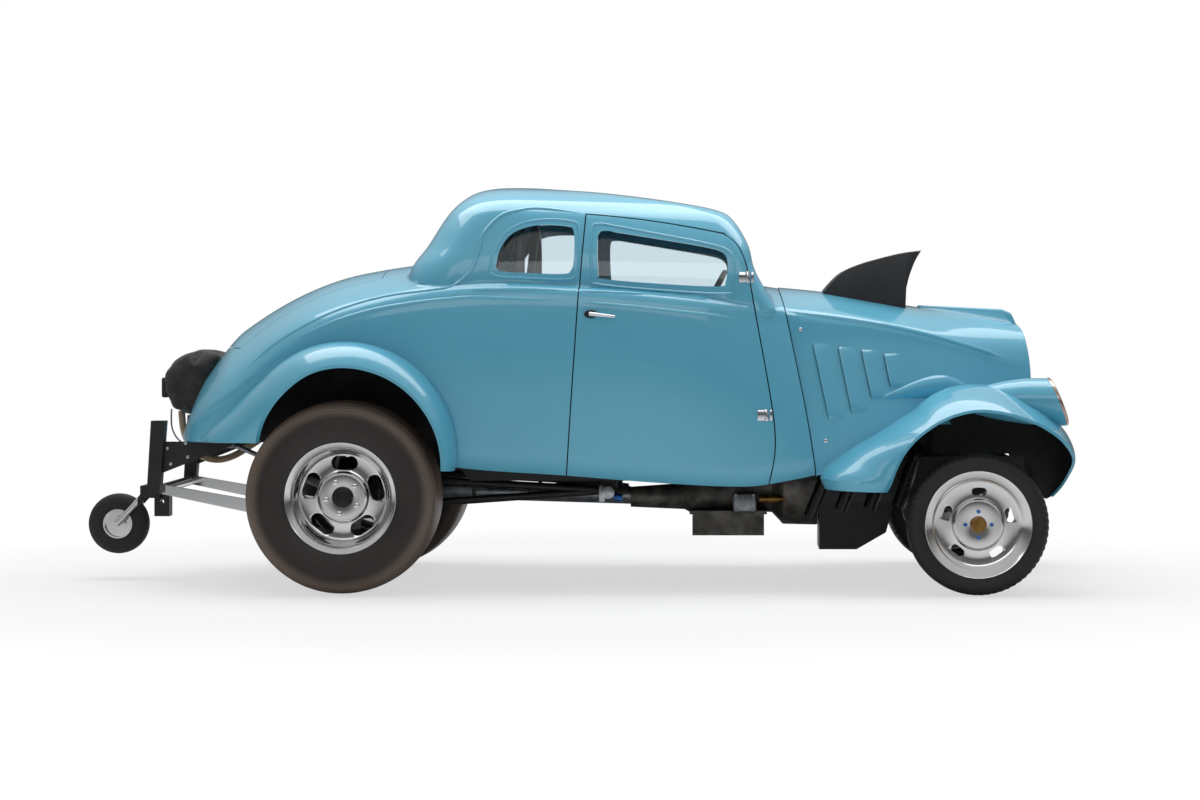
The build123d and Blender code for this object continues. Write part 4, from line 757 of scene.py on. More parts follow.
# Cutters reach past the car's sides and over its roof
far_y = 1.4
over_roof = 1.8
inboard = sy(0.30)
door_inner_y = 0.508
quarter_seam_y = 0.400
opening_z, opening_r = sz(0.301), 0.430
lid_gap = 0.003


def door_outline(grow):
    """The door's outline in the side view, grown by the gap round it."""
    rear = [(x - grow, z) for x, z in curve_through(side_outline(door_rear), 13)]
    front = [(x + grow, z) for x, z in curve_through(side_outline(door_front), 31)]
    rear[-1] = (rear[-1][0], rear[-1][1] + grow)
    front[0] = (front[0][0], front[0][1] + grow)
    (rear_x, rear_z), (front_x, front_z) = rear[-1], front[0]
    corner = [(front_x * share + rear_x * (1 - share),
               front_z * share + rear_z * (1 - share) + 0.010 * math.sin(math.pi * share))
              for share in (0.2, 0.4, 0.6, 0.8)]
    return rear + corner + front


def ahead_of_seam(offset):
    """Everything ahead of the slanted seam between body and nose."""
    line = [(x + offset, z) for x, z in curve_through(side_outline(seam), 16)]
    slope = (line[-1][0] - line[0][0]) / (line[0][1] - line[-1][1])
    top = (line[0][0] - (1.9 - line[0][1]) * slope, 1.9)
    return [top] + line + [(line[-1][0], -0.1), (sx(2), -0.1), (sx(2), 1.9)]


window_hole = curve_through(side_outline(door_window), 72, closed=True)
quarter_hole = curve_through(side_outline(quarter_window), 72, closed=True)


def rounded_box(x0, x1, half_w, z0, z1, corner):
    """A box with rounded corners seen from the front."""
    shape = box(x0, x1, -half_w, half_w, z0, z1)
    long_edges = [edge for edge in shape.edges
                  if abs(edge.verts[0].co.x - edge.verts[1].co.x) > 0.01]
    return rounded(shape, long_edges, corner, 6)


def lid_box(margin):
    """The deck lid's opening, drawn in by a margin."""
    return box(sx(-0.5), -0.765 - margin, -0.390 + margin, 0.390 - margin, 0.985 + margin,
               over_roof)


def tail_box(front_x, y0, y1):
    """Everything behind a place, from one y to another."""
    return box(sx(-0.5), front_x, y0, y1, 0, over_roof)


shell = cut(outer_skin.copy(), inner_skin)
shell = cut(shell, prism(ahead_of_seam(-gap), -far_y, far_y))
door_shape = cut(shell.copy(), prism(door_outline(0), -far_y, -door_inner_y), "INTERSECT")
door_shape = cut(door_shape, prism(window_hole, -far_y, -inboard))
rest = cut(shell, on_both_sides(prism(door_outline(gap), -far_y, -door_inner_y)))
rest = cut(rest, on_both_sides(prism(quarter_hole, -far_y, -inboard)))
rest = cut(rest, rounded_box(*windscreen))
rest = cut(rest, rounded_box(*rear_window))
roof_prism = prism(side_outline(roof_line), -far_y, far_y)
roof_shape = cut(rest.copy(), roof_prism.copy(), "INTERSECT")
lower = cut(rest, roof_prism)
arch = round_bar((rear_arch[0], -far_y, opening_z), (rear_arch[0], far_y, opening_z), opening_r, 96)
side_boxes = joined(tail_box(sx(0.5), quarter_seam_y, far_y),
                    tail_box(sx(0.5), -far_y, -quarter_seam_y))
quarter_shape = cut(cut(lower.copy(), side_boxes, "INTERSECT"), arch)
middle_box = tail_box(sx(0.3), -quarter_seam_y, quarter_seam_y)
middle_shape = cut(lower.copy(), middle_box, "INTERSECT")
lid_shape = cut(middle_shape.copy(), lid_box(lid_gap), "INTERSECT")
tail_shape = cut(middle_shape, lid_box(0))
cowl_shape = cut(lower, box(sx(0.5), sx(1), -far_y, far_y, 0, over_roof), "INTERSECT")

for piece_name, shape, body, nodes in (
        ("roof_skin", roof_shape, "chassis", ("roof_panel",)),
        ("quarter_skins", quarter_shape, "chassis", ("quarter_panels",)),
        ("cowl_skin", cowl_shape, "chassis", ("cowl_panel",)),
        ("tail_skin", tail_shape, "chassis", ("tail_panel",)),
        ("deck_lid_skin", lid_shape, "deck", ("deck_lid",)),
        ("door_skin_left", mirrored_copy(door_shape), "door_left_body", ("door_left",)),
        ("door_skin_right", door_shape, "door_right_body", ("door_right",))):
    smooth_like(finished(piece_name, shape, enamel, body, *nodes), outer_skin)


taper_points = 6


def line_shape(rows, radius, closed=False):
    """A round line along points, thinning towards its open ends."""
    data, spline = round_curve("passing", "POLY", rows, radius, 3)
    spline.use_cyclic_u = closed
    if not closed:
        for index, point in enumerate(spline.points):
            end = min(index, len(rows) - 1 - index) / taper_points
            point.radius = min(1.0, 0.25 + 0.75 * end)
    made = placed("passing", data)
    mesh = worked_mesh(made)
    bpy.data.objects.remove(made)
    bpy.data.curves.remove(data)
    return as_shape(mesh)


def on_skin(points, tree, depth):
    """Side-view points laid on the right side of a skin, sunk to a depth under it."""
    rows = []
    for x, z in points:
        spot, facing, _, _ = tree.ray_cast(Vector((x, -2.0, z)), Vector((0, 1, 0)))
        if spot is not None:
            rows.append(spot - facing * depth)
    return rows


def raised_line(points, radius, tree, sink=0.35, closed=False):
    """A moulding that follows the skin on the right side, from its side-view points."""
    smooth = curve_through(points, 8 * len(points), closed)
    return line_shape(on_skin(smooth, tree, radius * sink), radius, closed)


drip_points = [
    (-1.295, 0.903), (-1.171, 1.008), (-1.016, 1.098), (-0.861, 1.161), (-0.706, 1.201),
    (-0.551, 1.221), (-0.473, 1.232), (-0.434, 1.247), (-0.396, 1.282), (-0.366, 1.320),
    (-0.340, 1.402), (-0.328, 1.452), (-0.259, 1.525), (-0.175, 1.550), (-0.094, 1.555),
    (0.074, 1.535),
]
belt_low = [
    (-1.080, 1.028), (-0.925, 1.096), (-0.772, 1.142), (-0.617, 1.169), (-0.465, 1.186),
    (-0.335, 1.192), (-0.015, 1.179), (0.231, 1.159), (0.477, 1.134), (0.721, 1.106),
]
belt_high = [
    (-0.390, 1.225), (-0.180, 1.226), (0.060, 1.219), (0.300, 1.208), (0.530, 1.196),
    (0.640, 1.190),
]
door_edge_x = 0.030
door_front_x = 0.765
frame_bead, belt_bead, upper_bead = 0.006, 0.008, 0.007


def between(points, low, high):
    """The part of a smooth line between two places."""
    return [point for point in curve_through(points, 120) if low <= point[0] <= high]


def about(points, share):
    """A closed outline grown about its middle."""
    middle_x, middle_z = (sum(point[k] for point in points) / len(points) for k in (0, 1))
    return [(middle_x + (x - middle_x) * share[0], middle_z + (z - middle_z) * share[1])
            for x, z in points]


def belt_line(points, low, high, radius):
    """The part of a belt moulding between two places, let into the skin."""
    return line_shape(on_skin(between(points, low, high), skin_tree, 0.003), radius)


def window_frame(window, share):
    """The raised frame round a window."""
    return raised_line(about(side_outline(window), share), frame_bead, skin_tree, closed=True)


body_lines = joined(
    raised_line(drip_points, belt_bead, skin_tree), window_frame(quarter_window, (1.14, 1.22)),
    belt_line(belt_low, -1.080, door_edge_x - 0.012, belt_bead),
    belt_line(belt_high, -0.390, door_edge_x - 0.012, upper_bead))
finished("body_mouldings", on_both_sides(body_lines), enamel, "chassis")
door_lines = joined(
    window_frame(door_window, (1.10, 1.26)),
    belt_line(belt_low, door_edge_x + 0.010, door_front_x - 0.060, belt_bead),
    belt_line(belt_high, door_edge_x + 0.010, door_front_x - 0.140, upper_bead))
door_pieces("door_mouldings", door_lines, enamel)

# Glass: curved panes just inside the wall
pane_tree = BVHTree.FromBMesh(cab_solid(wall + 0.001, 6))


def bent_pane(across, heights, inwards):
    """A pane that follows the cab's inner face, between the heights given at each place."""
    towards = Vector(inwards)

    def place(u, v):
        side = across[0] + (across[1] - across[0]) * u
        low, high = heights(side)
        level = low + (high - low) * v
        start = (side, -far_y, level) if towards.y else (-2 * towards.x, side, level)
        return pane_tree.ray_cast(Vector(start), towards)[0]

    sheet = laid_grid(32, 16, place)
    sheet.normal_update()
    if sum(face.normal.dot(towards) for face in sheet.faces) > 0:
        bmesh.ops.reverse_faces(sheet, faces=sheet.faces)
    return backed(sheet, pane_thickness)


def side_pane(hole, growth):
    """The pane behind a hole in the car's side, larger than the hole."""
    edge = about(hole, growth)

    def heights(x):
        found = [z0 + (z1 - z0) * (x - x0) / (x1 - x0)
                 for (x0, z0), (x1, z1) in zip(edge, edge[1:] + edge[:1])
                 if min(x0, x1) <= x <= max(x0, x1) and x0 != x1]
        return min(found), max(found)

    rear, front = min(x for x, z in edge) + pane_thickness, max(x for x, z in edge) - pane_thickness
    return bent_pane((rear, front), heights, (0, 1, 0))


door_pieces("door_pane", side_pane(window_hole, (1.05, 1.12)), glass, "door_glass")
quarter_pane = side_pane(quarter_hole, (1.07, 1.10))
front_pane = bent_pane((-0.482, 0.482), lambda side: (1.262, 1.420), (-1, 0, 0))
rear_pane = bent_pane((-0.262, 0.262), lambda side: (1.383, 1.512), (1, 0, 0))
fixed_panes = joined(on_both_sides(quarter_pane), front_pane, rear_pane)
finished("fixed_panes", fixed_panes, glass, "chassis", "fixed_glass")

# Door fittings: outside hinges, and a lever handle on its round plate
hinge_heights = [1.275, 0.718]
hinge_half_height = 0.022
hinge_foot, hinge_line = Vector((0.813, -0.630, 0.723)), Vector((-0.131862, 0.032075, 0.990749))
handle_x, handle_z = 0.110, 1.125
handle_y = on_skin([(handle_x, handle_z)], skin_tree, 0)[0].y


def hinge_pin_at(z):
    """A point on the door's hinge line."""
    return hinge_foot + hinge_line * ((z - hinge_foot.z) / hinge_line.z)


def hinge_leaf(x0, x1, y0, y1, z, width):
    """One leaf of an outside hinge, its edges rounded to a width."""
    leaf = box(x0, x1, y0, y1, z - hinge_half_height, z + hinge_half_height)
    return softened(leaf, width)


def hinge(z):
    """The door's leaf of an outside hinge, with its pin."""
    x = hinge_pin_at(z).x
    y = on_skin([(x - 0.020, z)], skin_tree, 0)[0].y
    leaf = hinge_leaf(x - 0.036, x - 0.006, y - 0.012, y + 0.002, z, 0.003)
    pin = round_bar(tuple(hinge_pin_at(z - 0.024)), tuple(hinge_pin_at(z + 0.024)), 0.009, 16)
    return joined(leaf, softened(pin, 0.001))


def hinge_seat(z):
    """The hinge's other leaf, fixed to the cowl."""
    x = hinge_pin_at(z).x
    y = on_skin([(x + 0.019, z)], skin_tree, 0)[0].y
    return hinge_leaf(x + 0.014, x + 0.024, y - 0.012, y + 0.006, z, 0.002)


def handle():
    """The door's lever on its stem."""
    x, y, z = handle_x, handle_y, handle_z
    stem = round_bar((x, y + 0.004, z), (x, y - 0.036, z), 0.009, 20)
    lever = round_bar((x - 0.006, y - 0.034, z + 0.001), (x + 0.098, y - 0.026, z - 0.011), 0.009,
                      20, 0.006)
    return joined(softened(stem, 0.001), softened(lever, 0.003))


def handle_plate():
    """The oval plate that the handle's stem stands on."""
    plate = round_bar((0, handle_y + 0.004, 0), (0, handle_y - 0.007, 0), 0.020, 32)
    bmesh.ops.scale(plate, vec=(1.35, 1, 0.8), verts=plate.verts)
    bmesh.ops.translate(plate, vec=(handle_x, 0, handle_z), verts=plate.verts)
    return softened(plate, 0.002)


fittings = joined(handle(), *(hinge(height) for height in hinge_heights))
door_pieces("door_handle_and_hinges", fittings, chrome_plate, "door_fittings")
seats = joined(*(hinge_seat(height) for height in hinge_heights))
finished("cowl_hinge_seats", on_both_sides(seats), chrome_plate, "chassis")
door_pieces("handle_plate", handle_plate(), dark_cast)

# Dark rubber behind the gaps round the doors and the lid
seal_radius = 0.011
seals = line_shape(on_skin(door_outline(gap / 2), skin_tree, 0.031), seal_radius, closed=True)
lid_rows = [skin_tree.ray_cast(Vector((-3.0, y / 100, 0.9865)), Vector((1, 0, 0)))[0]
            for y in range(-38, 39, 2)]
lid_seal = line_shape([spot + Vector((0.030, 0, -0.004)) for spot in lid_rows], seal_radius)
finished("door_and_lid_seals", joined(on_both_sides(seals), lid_seal), inside_black, "chassis")


# Nose: its front edge in the side view, and the raised peak over the grille
nose_front = [
    (1.086, 0.700), (1.091, 0.659), (1.101, 0.622), (1.109, 0.515), (1.106, 0.330), (1.106, 0.10),
]
peak = [
    (0.926, 0.60), (0.926, 0.702), (1.067, 0.692), (1.083, 0.682), (1.091, 0.655), (1.091, 0.60),
]
nose_wall = 0.012
nose_full = lofted(nose_ring, 0.680, 1.120, 60, 0)
nose_inner = lofted(nose_ring, 0.670, 1.130, 40, nose_wall)


def behind_front(offset):
    """Everything behind the nose's front edge, moved by an offset."""
    line = [(x + offset, z) for x, z in curve_through(side_outline(nose_front), 24)]
    outline = line + [(0, -0.1), (0, sz(0.95)), (line[0][0] - 0.12, sz(0.95))]
    return prism(outline, -far_y, far_y)


nose_skin = softened(cut(nose_full, behind_front(0), "INTERSECT"), 0.020, 4)
peak_solid = softened(prism(side_outline(peak), -0.034, 0.034), 0.010, 3)
nose_skin = cut(nose_skin, peak_solid, "UNION")
nose_tree = BVHTree.FromBMesh(nose_skin)
nose_shape = cut(nose_skin.copy(), cut(nose_inner, behind_front(-nose_wall), "INTERSECT"))
nose_shape = cut(nose_shape, prism(ahead_of_seam(0), -far_y, far_y), "INTERSECT")
nose_shape = cut(nose_shape, rounded_box(*grille_hole))
smooth_like(finished("nose_skin", nose_shape, enamel, "front_clip", "hood_shell"), nose_skin)
hood_line = [
    (0.889, 1.139), (1.181, 1.101), (1.372, 1.068), (1.559, 1.024), (1.702, 0.983), (1.816, 0.945),
]
# Each louvre's rear edge: place and height shares of its top, then of its foot
louvre_edges = [
    (0.7441, 0.605, 0.7689, 0.420), (0.7850, 0.597, 0.8059, 0.436), (0.8228, 0.590, 0.8390, 0.470),
    (0.8598, 0.580, 0.8701, 0.498),
]
louvre_out = 0.011
louvre_length = 0.074


def nose_side(x, z):
    """Where the nose's left side lies."""
    return nose_tree.ray_cast(Vector((x, 2.0, z)), Vector((0, -1, 0)))[0].y


def louvre(top_x, top_z, low_x, low_z, section):
    """A pressed louvre over its rear edge. Its closed section is in lengths ahead of the edge
    and shares of how far it stands out."""
    def place(u, v):
        at = v * len(section)
        index = int(at) % len(section)
        (a, out_a), (b, out_b) = section[index], section[(index + 1) % len(section)]
        ahead, out = a + (b - a) * (at % 1), out_a + (out_b - out_a) * (at % 1)
        x, z = sx(top_x + (low_x - top_x) * u) + ahead, sz(top_z + (low_z - top_z) * u)
        rise = (1 - abs(2 * u - 1) ** 7) ** 0.5
        return (x, nose_side(x, z) + louvre_out * (out * rise if out > 0 else out), z)

    return capped(laid_grid(26, 4 * len(section), place))


pressed = [(0, -0.3), (0, 0.85), (0.004, 1.0), (0.020, 0.86), (0.045, 0.45),
           (louvre_length, -0.05), (louvre_length, -0.3)]
# A thin black strip in each louvre's open mouth: painted shade of the dark slot behind it.
mouth_shade = [(-0.0012, 0.08), (-0.0012, 0.74), (0.001, 0.74), (0.001, 0.08)]
for piece_name, section, finish, crease in (("louvre_pressings", pressed, enamel, 50),
                                            ("louvre_mouths_painted_shade", mouth_shade, inside_black, 32)):
    row = joined(*(louvre(*edge, section) for edge in louvre_edges))
    finished(piece_name, on_both_sides(row), finish, "front_clip", crease=crease)

# The blister above each front wheel: its rear end, length, greatest radius and how flat it lies
blister_rear_x, blister_length, blister_radius, blister_flatness = 1.205, 0.465, 0.050, 0.62


def blister():
    """The teardrop swelling in the nose's side above the wheel."""
    def place(u, v):
        x = blister_rear_x + blister_length * u
        radius = blister_radius * max(math.sin(math.pi * u ** 1.9), 0) ** 0.8 + 0.0005
        z = 0.768 + 0.058 * math.sin(math.pi * u ** 1.3 / 1.35)
        turn = 2 * math.pi * v
        y = nose_side(x, z) - 0.004 + blister_flatness * radius * math.cos(turn)
        return (x, y, z + radius * math.sin(turn))

    return capped(laid_grid(40, 32, place))


finished("nose_blisters", on_both_sides(blister()), enamel, "front_clip")
hood_bead = raised_line(hood_line, 0.011, nose_tree, 0.3)
finished("hood_mouldings", on_both_sides(hood_bead), enamel, "front_clip")


def screw_head(spot, radius=0.008, half_height=0.004):
    """A round screw head let half its height into the skin."""
    half = Vector((0, half_height, 0))
    return softened(round_bar(spot + half, spot - half, radius, 16), 0.001)


screw_spots = on_skin([(0.955, 1.064), (1.056, 0.612)], nose_tree, 0)
screws = joined(*(screw_head(spot) for spot in screw_spots))
finished("nose_screws", on_both_sides(screws), chrome_plate, "front_clip")


# Fenders. Columns: angle, then radius and half-width shares of the edge on the body,
# of the crest and of the lip. Radii are shares of the arch's radius.
rear_fender_rows = [
    (-5, 1.110, 0.93, 1.09, 1.09, 1.030, 1.15), (14, 1.134, 0.93, 1.11, 1.11, 1.022, 1.18),
    (33, 1.156, 0.92, 1.13, 1.11, 1.008, 1.19), (53, 1.186, 0.91, 1.15, 1.11, 1.002, 1.20),
    (75, 1.203, 0.90, 1.165, 1.11, 0.997, 1.20), (93, 1.220, 0.89, 1.175, 1.10, 0.998, 1.20),
    (110, 1.227, 0.87, 1.18, 1.08, 0.990, 1.19), (128, 1.215, 0.84, 1.17, 1.05, 0.960, 1.17),
    (140, 1.228, 0.80, 1.19, 1.00, 0.950, 1.15), (157, 1.355, 0.74, 1.29, 0.92, 0.945, 1.10),
    (172, 1.625, 0.66, 1.50, 0.83, 0.935, 1.05), (178, 1.700, 0.64, 1.56, 0.81, 0.930, 1.03),
]
front_fender_rows = [
    (-4, 0.980, 0.50, 1.000, 0.56, 0.985, 0.62), (9, 1.150, 0.50, 1.165, 0.62, 1.150, 0.74),
    (19, 1.240, 0.47, 1.275, 0.72, 1.235, 0.92), (30, 1.250, 0.42, 1.300, 0.80, 1.200, 1.06),
    (45, 1.210, 0.34, 1.275, 0.84, 1.120, 1.12), (60, 1.170, 0.32, 1.242, 0.86, 1.050, 1.15),
    (75, 1.165, 0.38, 1.242, 0.88, 1.012, 1.16), (90, 1.165, 0.42, 1.242, 0.88, 1.000, 1.16),
    (105, 1.155, 0.48, 1.240, 0.88, 0.987, 1.16), (117, 1.140, 0.52, 1.220, 0.88, 0.982, 1.16),
    (129, 1.140, 0.56, 1.200, 0.86, 0.985, 1.16), (149, 1.300, 0.66, 1.342, 0.84, 1.005, 1.14),
    (164, 1.600, 0.76, 1.620, 0.86, 1.020, 1.11), (173, 1.800, 0.82, 1.820, 0.90, 1.040, 1.09),
    (178, 1.740, 0.82, 1.760, 0.90, 1.080, 1.08),
]


def arc_through(a, b, c, share):
    """A point on the arc through three points in a plane."""
    ax, ay, bx, by, cx, cy = *a, *b, *c
    d = 2 * (ax * (by - cy) + bx * (cy - ay) + cx * (ay - by))
    if abs(d) < 1e-9:
        return (ax + (cx - ax) * share, ay + (cy - ay) * share)
    aa, bb, cc = ax * ax + ay * ay, bx * bx + by * by, cx * cx + cy * cy
    ux = (aa * (by - cy) + bb * (cy - ay) + cc * (ay - by)) / d
    uy = (aa * (cx - bx) + bb * (ax - cx) + cc * (bx - ax)) / d
    start = math.atan2(ay - uy, ax - ux)
    sweep = (math.atan2(cy - uy, cx - ux) - start) % (2 * math.pi)
    through = (math.atan2(by - uy, bx - ux) - start) % (2 * math.pi)
    if through > sweep:
        sweep -= 2 * math.pi
    radius = math.hypot(ax - ux, ay - uy)
    turn = start + sweep * share
    return (ux + radius * math.cos(turn), uy + radius * math.sin(turn))


# No fender passes these: the car's front end and its widest place
fender_front, fender_side = 2.072, 0.828
fender_thickness = 0.005
lining_inset, lining_thickness = 0.0062, 0.0008
roll_radius, roll_width, rolled_from = 0.006, 0.012, 0.9


def fender_skin(rows, arch, tail_floor=None, lining=False):
    """A fender over its arch on the left side, its edge rolled in along the lip, its tail cut
    level at a floor. Its lining is a thin coat just inside it."""
    centre_x, centre_z, arch_r = arch
    known = {}

    def place(u, v):
        if u not in known:
            angle = rows[0][0] + (rows[-1][0] - rows[0][0]) * u
            edge_r, edge_w, crest_r, crest_w, lip_r, lip_w = table_row(rows, angle)
            known[u] = (math.radians(angle), (arch_r * edge_r, sy(edge_w)),
                        (arch_r * crest_r, sy(crest_w)), (arch_r * lip_r, sy(lip_w)))
        turn, edge, crest, lip = known[u]
        if lining:
            reach, out = arc_through(edge, crest, lip, v * 0.97)
        elif v <= rolled_from:
            reach, out = arc_through(edge, crest, lip, v / rolled_from)
        else:
            rolled = (v - rolled_from) / 0.1
            reach = lip[0] - roll_radius + roll_radius * math.cos(rolled * math.pi)
            out = lip[1] - roll_width * rolled
        return (centre_x + reach * math.cos(turn), out, centre_z + reach * math.sin(turn))

    shape = laid_grid(90, 40, place)
    if tail_floor is not None:
        tail = [face for face in shape.faces if face.calc_center_median().x < centre_x]
        parts = set(tail)
        for face in tail:
            parts.update(face.edges, face.verts)
        bmesh.ops.bisect_plane(shape, geom=list(parts), plane_co=(0, 0, tail_floor),
                               plane_no=(0, 0, -1), clear_outer=True)
    bmesh.ops.recalc_face_normals(shape, faces=shape.faces)
    top = max(shape.faces, key=lambda face: face.calc_center_median().z)
    if top.normal.z < 0:
        bmesh.ops.reverse_faces(shape, faces=shape.faces)
    if lining:
        for vert in shape.verts:
            vert.normal_update()
        moved = [vert.co - vert.normal * lining_inset for vert in shape.verts]
        for vert, spot in zip(shape.verts, moved):
            vert.co = spot
    bmesh.ops.solidify(shape, geom=shape.faces,
                       thickness=lining_thickness if lining else fender_thickness)
    for vert in shape.verts:
        vert.co.x, vert.co.y = min(vert.co.x, fender_front), min(vert.co.y, fender_side)
    return shape


rear_fender = fender_skin(rear_fender_rows, rear_arch, 0.609)
finished("rear_fender_skins", on_both_sides(rear_fender), enamel, "chassis", "rear_fenders")

lamp_centre = Vector((1.992, 0.560, 0.769))
lamp_lean = math.radians(22)
lamp_facing = Vector((math.cos(lamp_lean), 0, math.sin(lamp_lean)))
lamp_r = 0.104
pod_tail, pod_tail_r = Vector((1.560, 0.520, 0.770)), 0.004


def lamp_pod():
    """The teardrop that fairs the headlamp into the fender."""
    def place(u, v):
        swell = math.sin(u * math.pi / 2) ** 0.75
        radius = pod_tail_r + (lamp_r - pod_tail_r) * swell
        middle = pod_tail.lerp(lamp_centre, u)
        lean = lamp_lean * u
        up = Vector((-math.sin(lean), 0, math.cos(lean)))
        turn = 2 * math.pi * v
        return middle + Vector((0, 1, 0)) * radius * math.cos(turn) + up * radius * math.sin(turn)

    return capped(laid_grid(40, 48, place))


front_fender = fender_skin(front_fender_rows, front_arch)
# The wheel well's inner wall, in black as painted shade that hides the nose's blue side behind the
# arch: its arc in angles and shares of the arch's radius, then its low edge
shade_wall_arc = [
    (-4, 0.972), (9, 1.133), (19, 1.230), (30, 1.255), (45, 1.226), (60, 1.190), (75, 1.190),
    (90, 1.190), (105, 1.178), (112, 1.165),
]
shade_wall_low = [(0.939, 0.440), (0.939, 0.332), (1.094, 0.332), (1.109, 0.228), (1.124, 0.220)]


def shade_wall():
    """The upright inner wall of the left front wheel's well, in black as painted shade over the
    nose's side behind it.
    """
    x, z, arch_r = front_arch
    arc = [(x + arch_r * share * math.cos(math.radians(angle)),
            z + arch_r * share * math.sin(math.radians(angle))) for angle, share in shade_wall_arc]
    return prism(curve_through(arc, 40) + side_outline(shade_wall_low), 0.3985, 0.4035)


fender_pair = on_both_sides(joined(front_fender, lamp_pod()))
finished("front_fender_skins", fender_pair, enamel, "front_clip", "front_fenders")
# The fenders' linings are black coats inside them; the upright walls are black as painted shade in
# the wells.
front_lining_and_shade_wall = joined(fender_skin(front_fender_rows, front_arch, lining=True), shade_wall())
finished("front_fender_linings_and_shade_walls", on_both_sides(front_lining_and_shade_wall), inside_black, "front_clip")
rear_lining = fender_skin(rear_fender_rows, rear_arch, 0.611, lining=True)
finished("rear_fender_linings", on_both_sides(rear_lining), inside_black, "chassis")


def lathe(profile, steps=64):
    """A turned shape about the y axis, from its radii and places along y."""
    shape = bmesh.new()
    chain = [shape.verts.new((radius, along, 0)) for radius, along in profile]
    edges = [shape.edges.new(pair) for pair in zip(chain, chain[1:])]
    bmesh.ops.spin(shape, geom=chain + edges, cent=(0, 0, 0), axis=(0, 1, 0), angle=2 * math.pi,
                   steps=steps, use_merge=True, use_duplicate=False)
    bmesh.ops.remove_doubles(shape, verts=shape.verts, dist=1e-5)
    bmesh.ops.recalc_face_normals(shape, faces=shape.faces)
    return shape


def headlamp(profile):
    """A turned lamp part, its axis turned from +y to the lamp's facing."""
    shape = lathe(profile)
    turn = Vector((0, 1, 0)).rotation_difference(lamp_facing).to_matrix().to_4x4()
    bmesh.ops.transform(shape, matrix=Matrix.Translation(lamp_centre) @ turn, verts=shape.verts)
    return shape


lamp_ring = headlamp([(0.088, 0.010), (0.089, 0.005), (0.098, 0.000), (0.1045, 0.000),
                      (0.1050, 0.005), (0.1030, 0.010), (0.0960, 0.013), (0.0900, 0.013),
                      (0.088, 0.010)])
finished("headlamp_rings", on_both_sides(lamp_ring), lamp_bezel, "front_clip", "headlamps")
lamp_lens = headlamp([(0.0, 0.014), (0.030, 0.0135), (0.060, 0.012), (0.0885, 0.008),
                      (0.0885, 0.005), (0.0, 0.010)])
finished("headlamp_lenses", on_both_sides(lamp_lens), glass, "front_clip")
lamp_bowl = headlamp([(0.0, 0.001), (0.040, 0.002), (0.088, 0.004), (0.088, 0.002), (0.0, 0.000)])
finished("headlamp_bowls", on_both_sides(lamp_bowl), polished_alloy, "front_clip")


# Wheels: each is made about the y axis, its outer face towards -y
def bored_slots(rim, count, first, radius, long_side, short_side, depth):
    """Cuts rounded slots through a wheel's disc."""
    tools = []
    for index in range(count):
        shape = bmesh.new()
        bmesh.ops.create_circle(shape, cap_ends=True, segments=32, radius=short_side / 2)
        half = (long_side - short_side) / 2
        for vert in shape.verts:
            vert.co.x += math.copysign(half, vert.co.x) if abs(vert.co.x) > 1e-6 else 0
        grown = bmesh.ops.extrude_face_region(shape, geom=shape.faces[:])
        moved = [item for item in grown["geom"] if isinstance(item, bmesh.types.BMVert)]
        bmesh.ops.translate(shape, vec=(0, 0, depth), verts=moved)
        bmesh.ops.translate(shape, vec=(0, 0, -depth / 2), verts=shape.verts)
        upright = Matrix.Rotation(math.radians(90), 3, "X")
        bmesh.ops.rotate(shape, verts=shape.verts, matrix=upright)
        bmesh.ops.translate(shape, vec=(0, 0, radius), verts=shape.verts)
        turn = Matrix.Rotation(math.radians(90 - first - index * 360 / count), 3, "Y")
        bmesh.ops.rotate(shape, verts=shape.verts, matrix=turn)
        bmesh.ops.recalc_face_normals(shape, faces=shape.faces)
        tools.append(shape)
    return cut(rim, joined(*tools))


def on_wheel(shape, x, z, y, side):
    """Puts a wheel's part in place: side is right or left."""
    bmesh.ops.translate(shape, vec=(0, -y, 0), verts=shape.verts)
    if side == "left":
        bmesh.ops.scale(shape, vec=(1, -1, 1), verts=shape.verts)
        bmesh.ops.reverse_faces(shape, faces=shape.faces)
    bmesh.ops.translate(shape, vec=(x, 0, z), verts=shape.verts)
    return shape


def ring_of(count, radius, first, part):
    """Copies of a small shape round the wheel."""
    copies = []
    for index in range(count):
        turn = math.radians(first + index * 360 / count)
        shape = part.copy()
        spot = (radius * math.cos(turn), 0, radius * math.sin(turn))
        bmesh.ops.translate(shape, vec=spot, verts=shape.verts)
        copies.append(shape)
    return joined(*copies)


def bolt_head(radius, height, out):
    """A six-sided head that stands out from the wheel's middle plane by a distance."""
    return round_bar((0, -out - height, 0), (0, -out, 0), radius, 6)


def both_walls(outer, inner):
    """A tyre's closed section: its outer wall mirrored about the middle, then the bead inside."""
    mirrored = [(radius, -along) for radius, along in reversed(outer[:-1])]
    return outer + mirrored + inner + outer[:1]


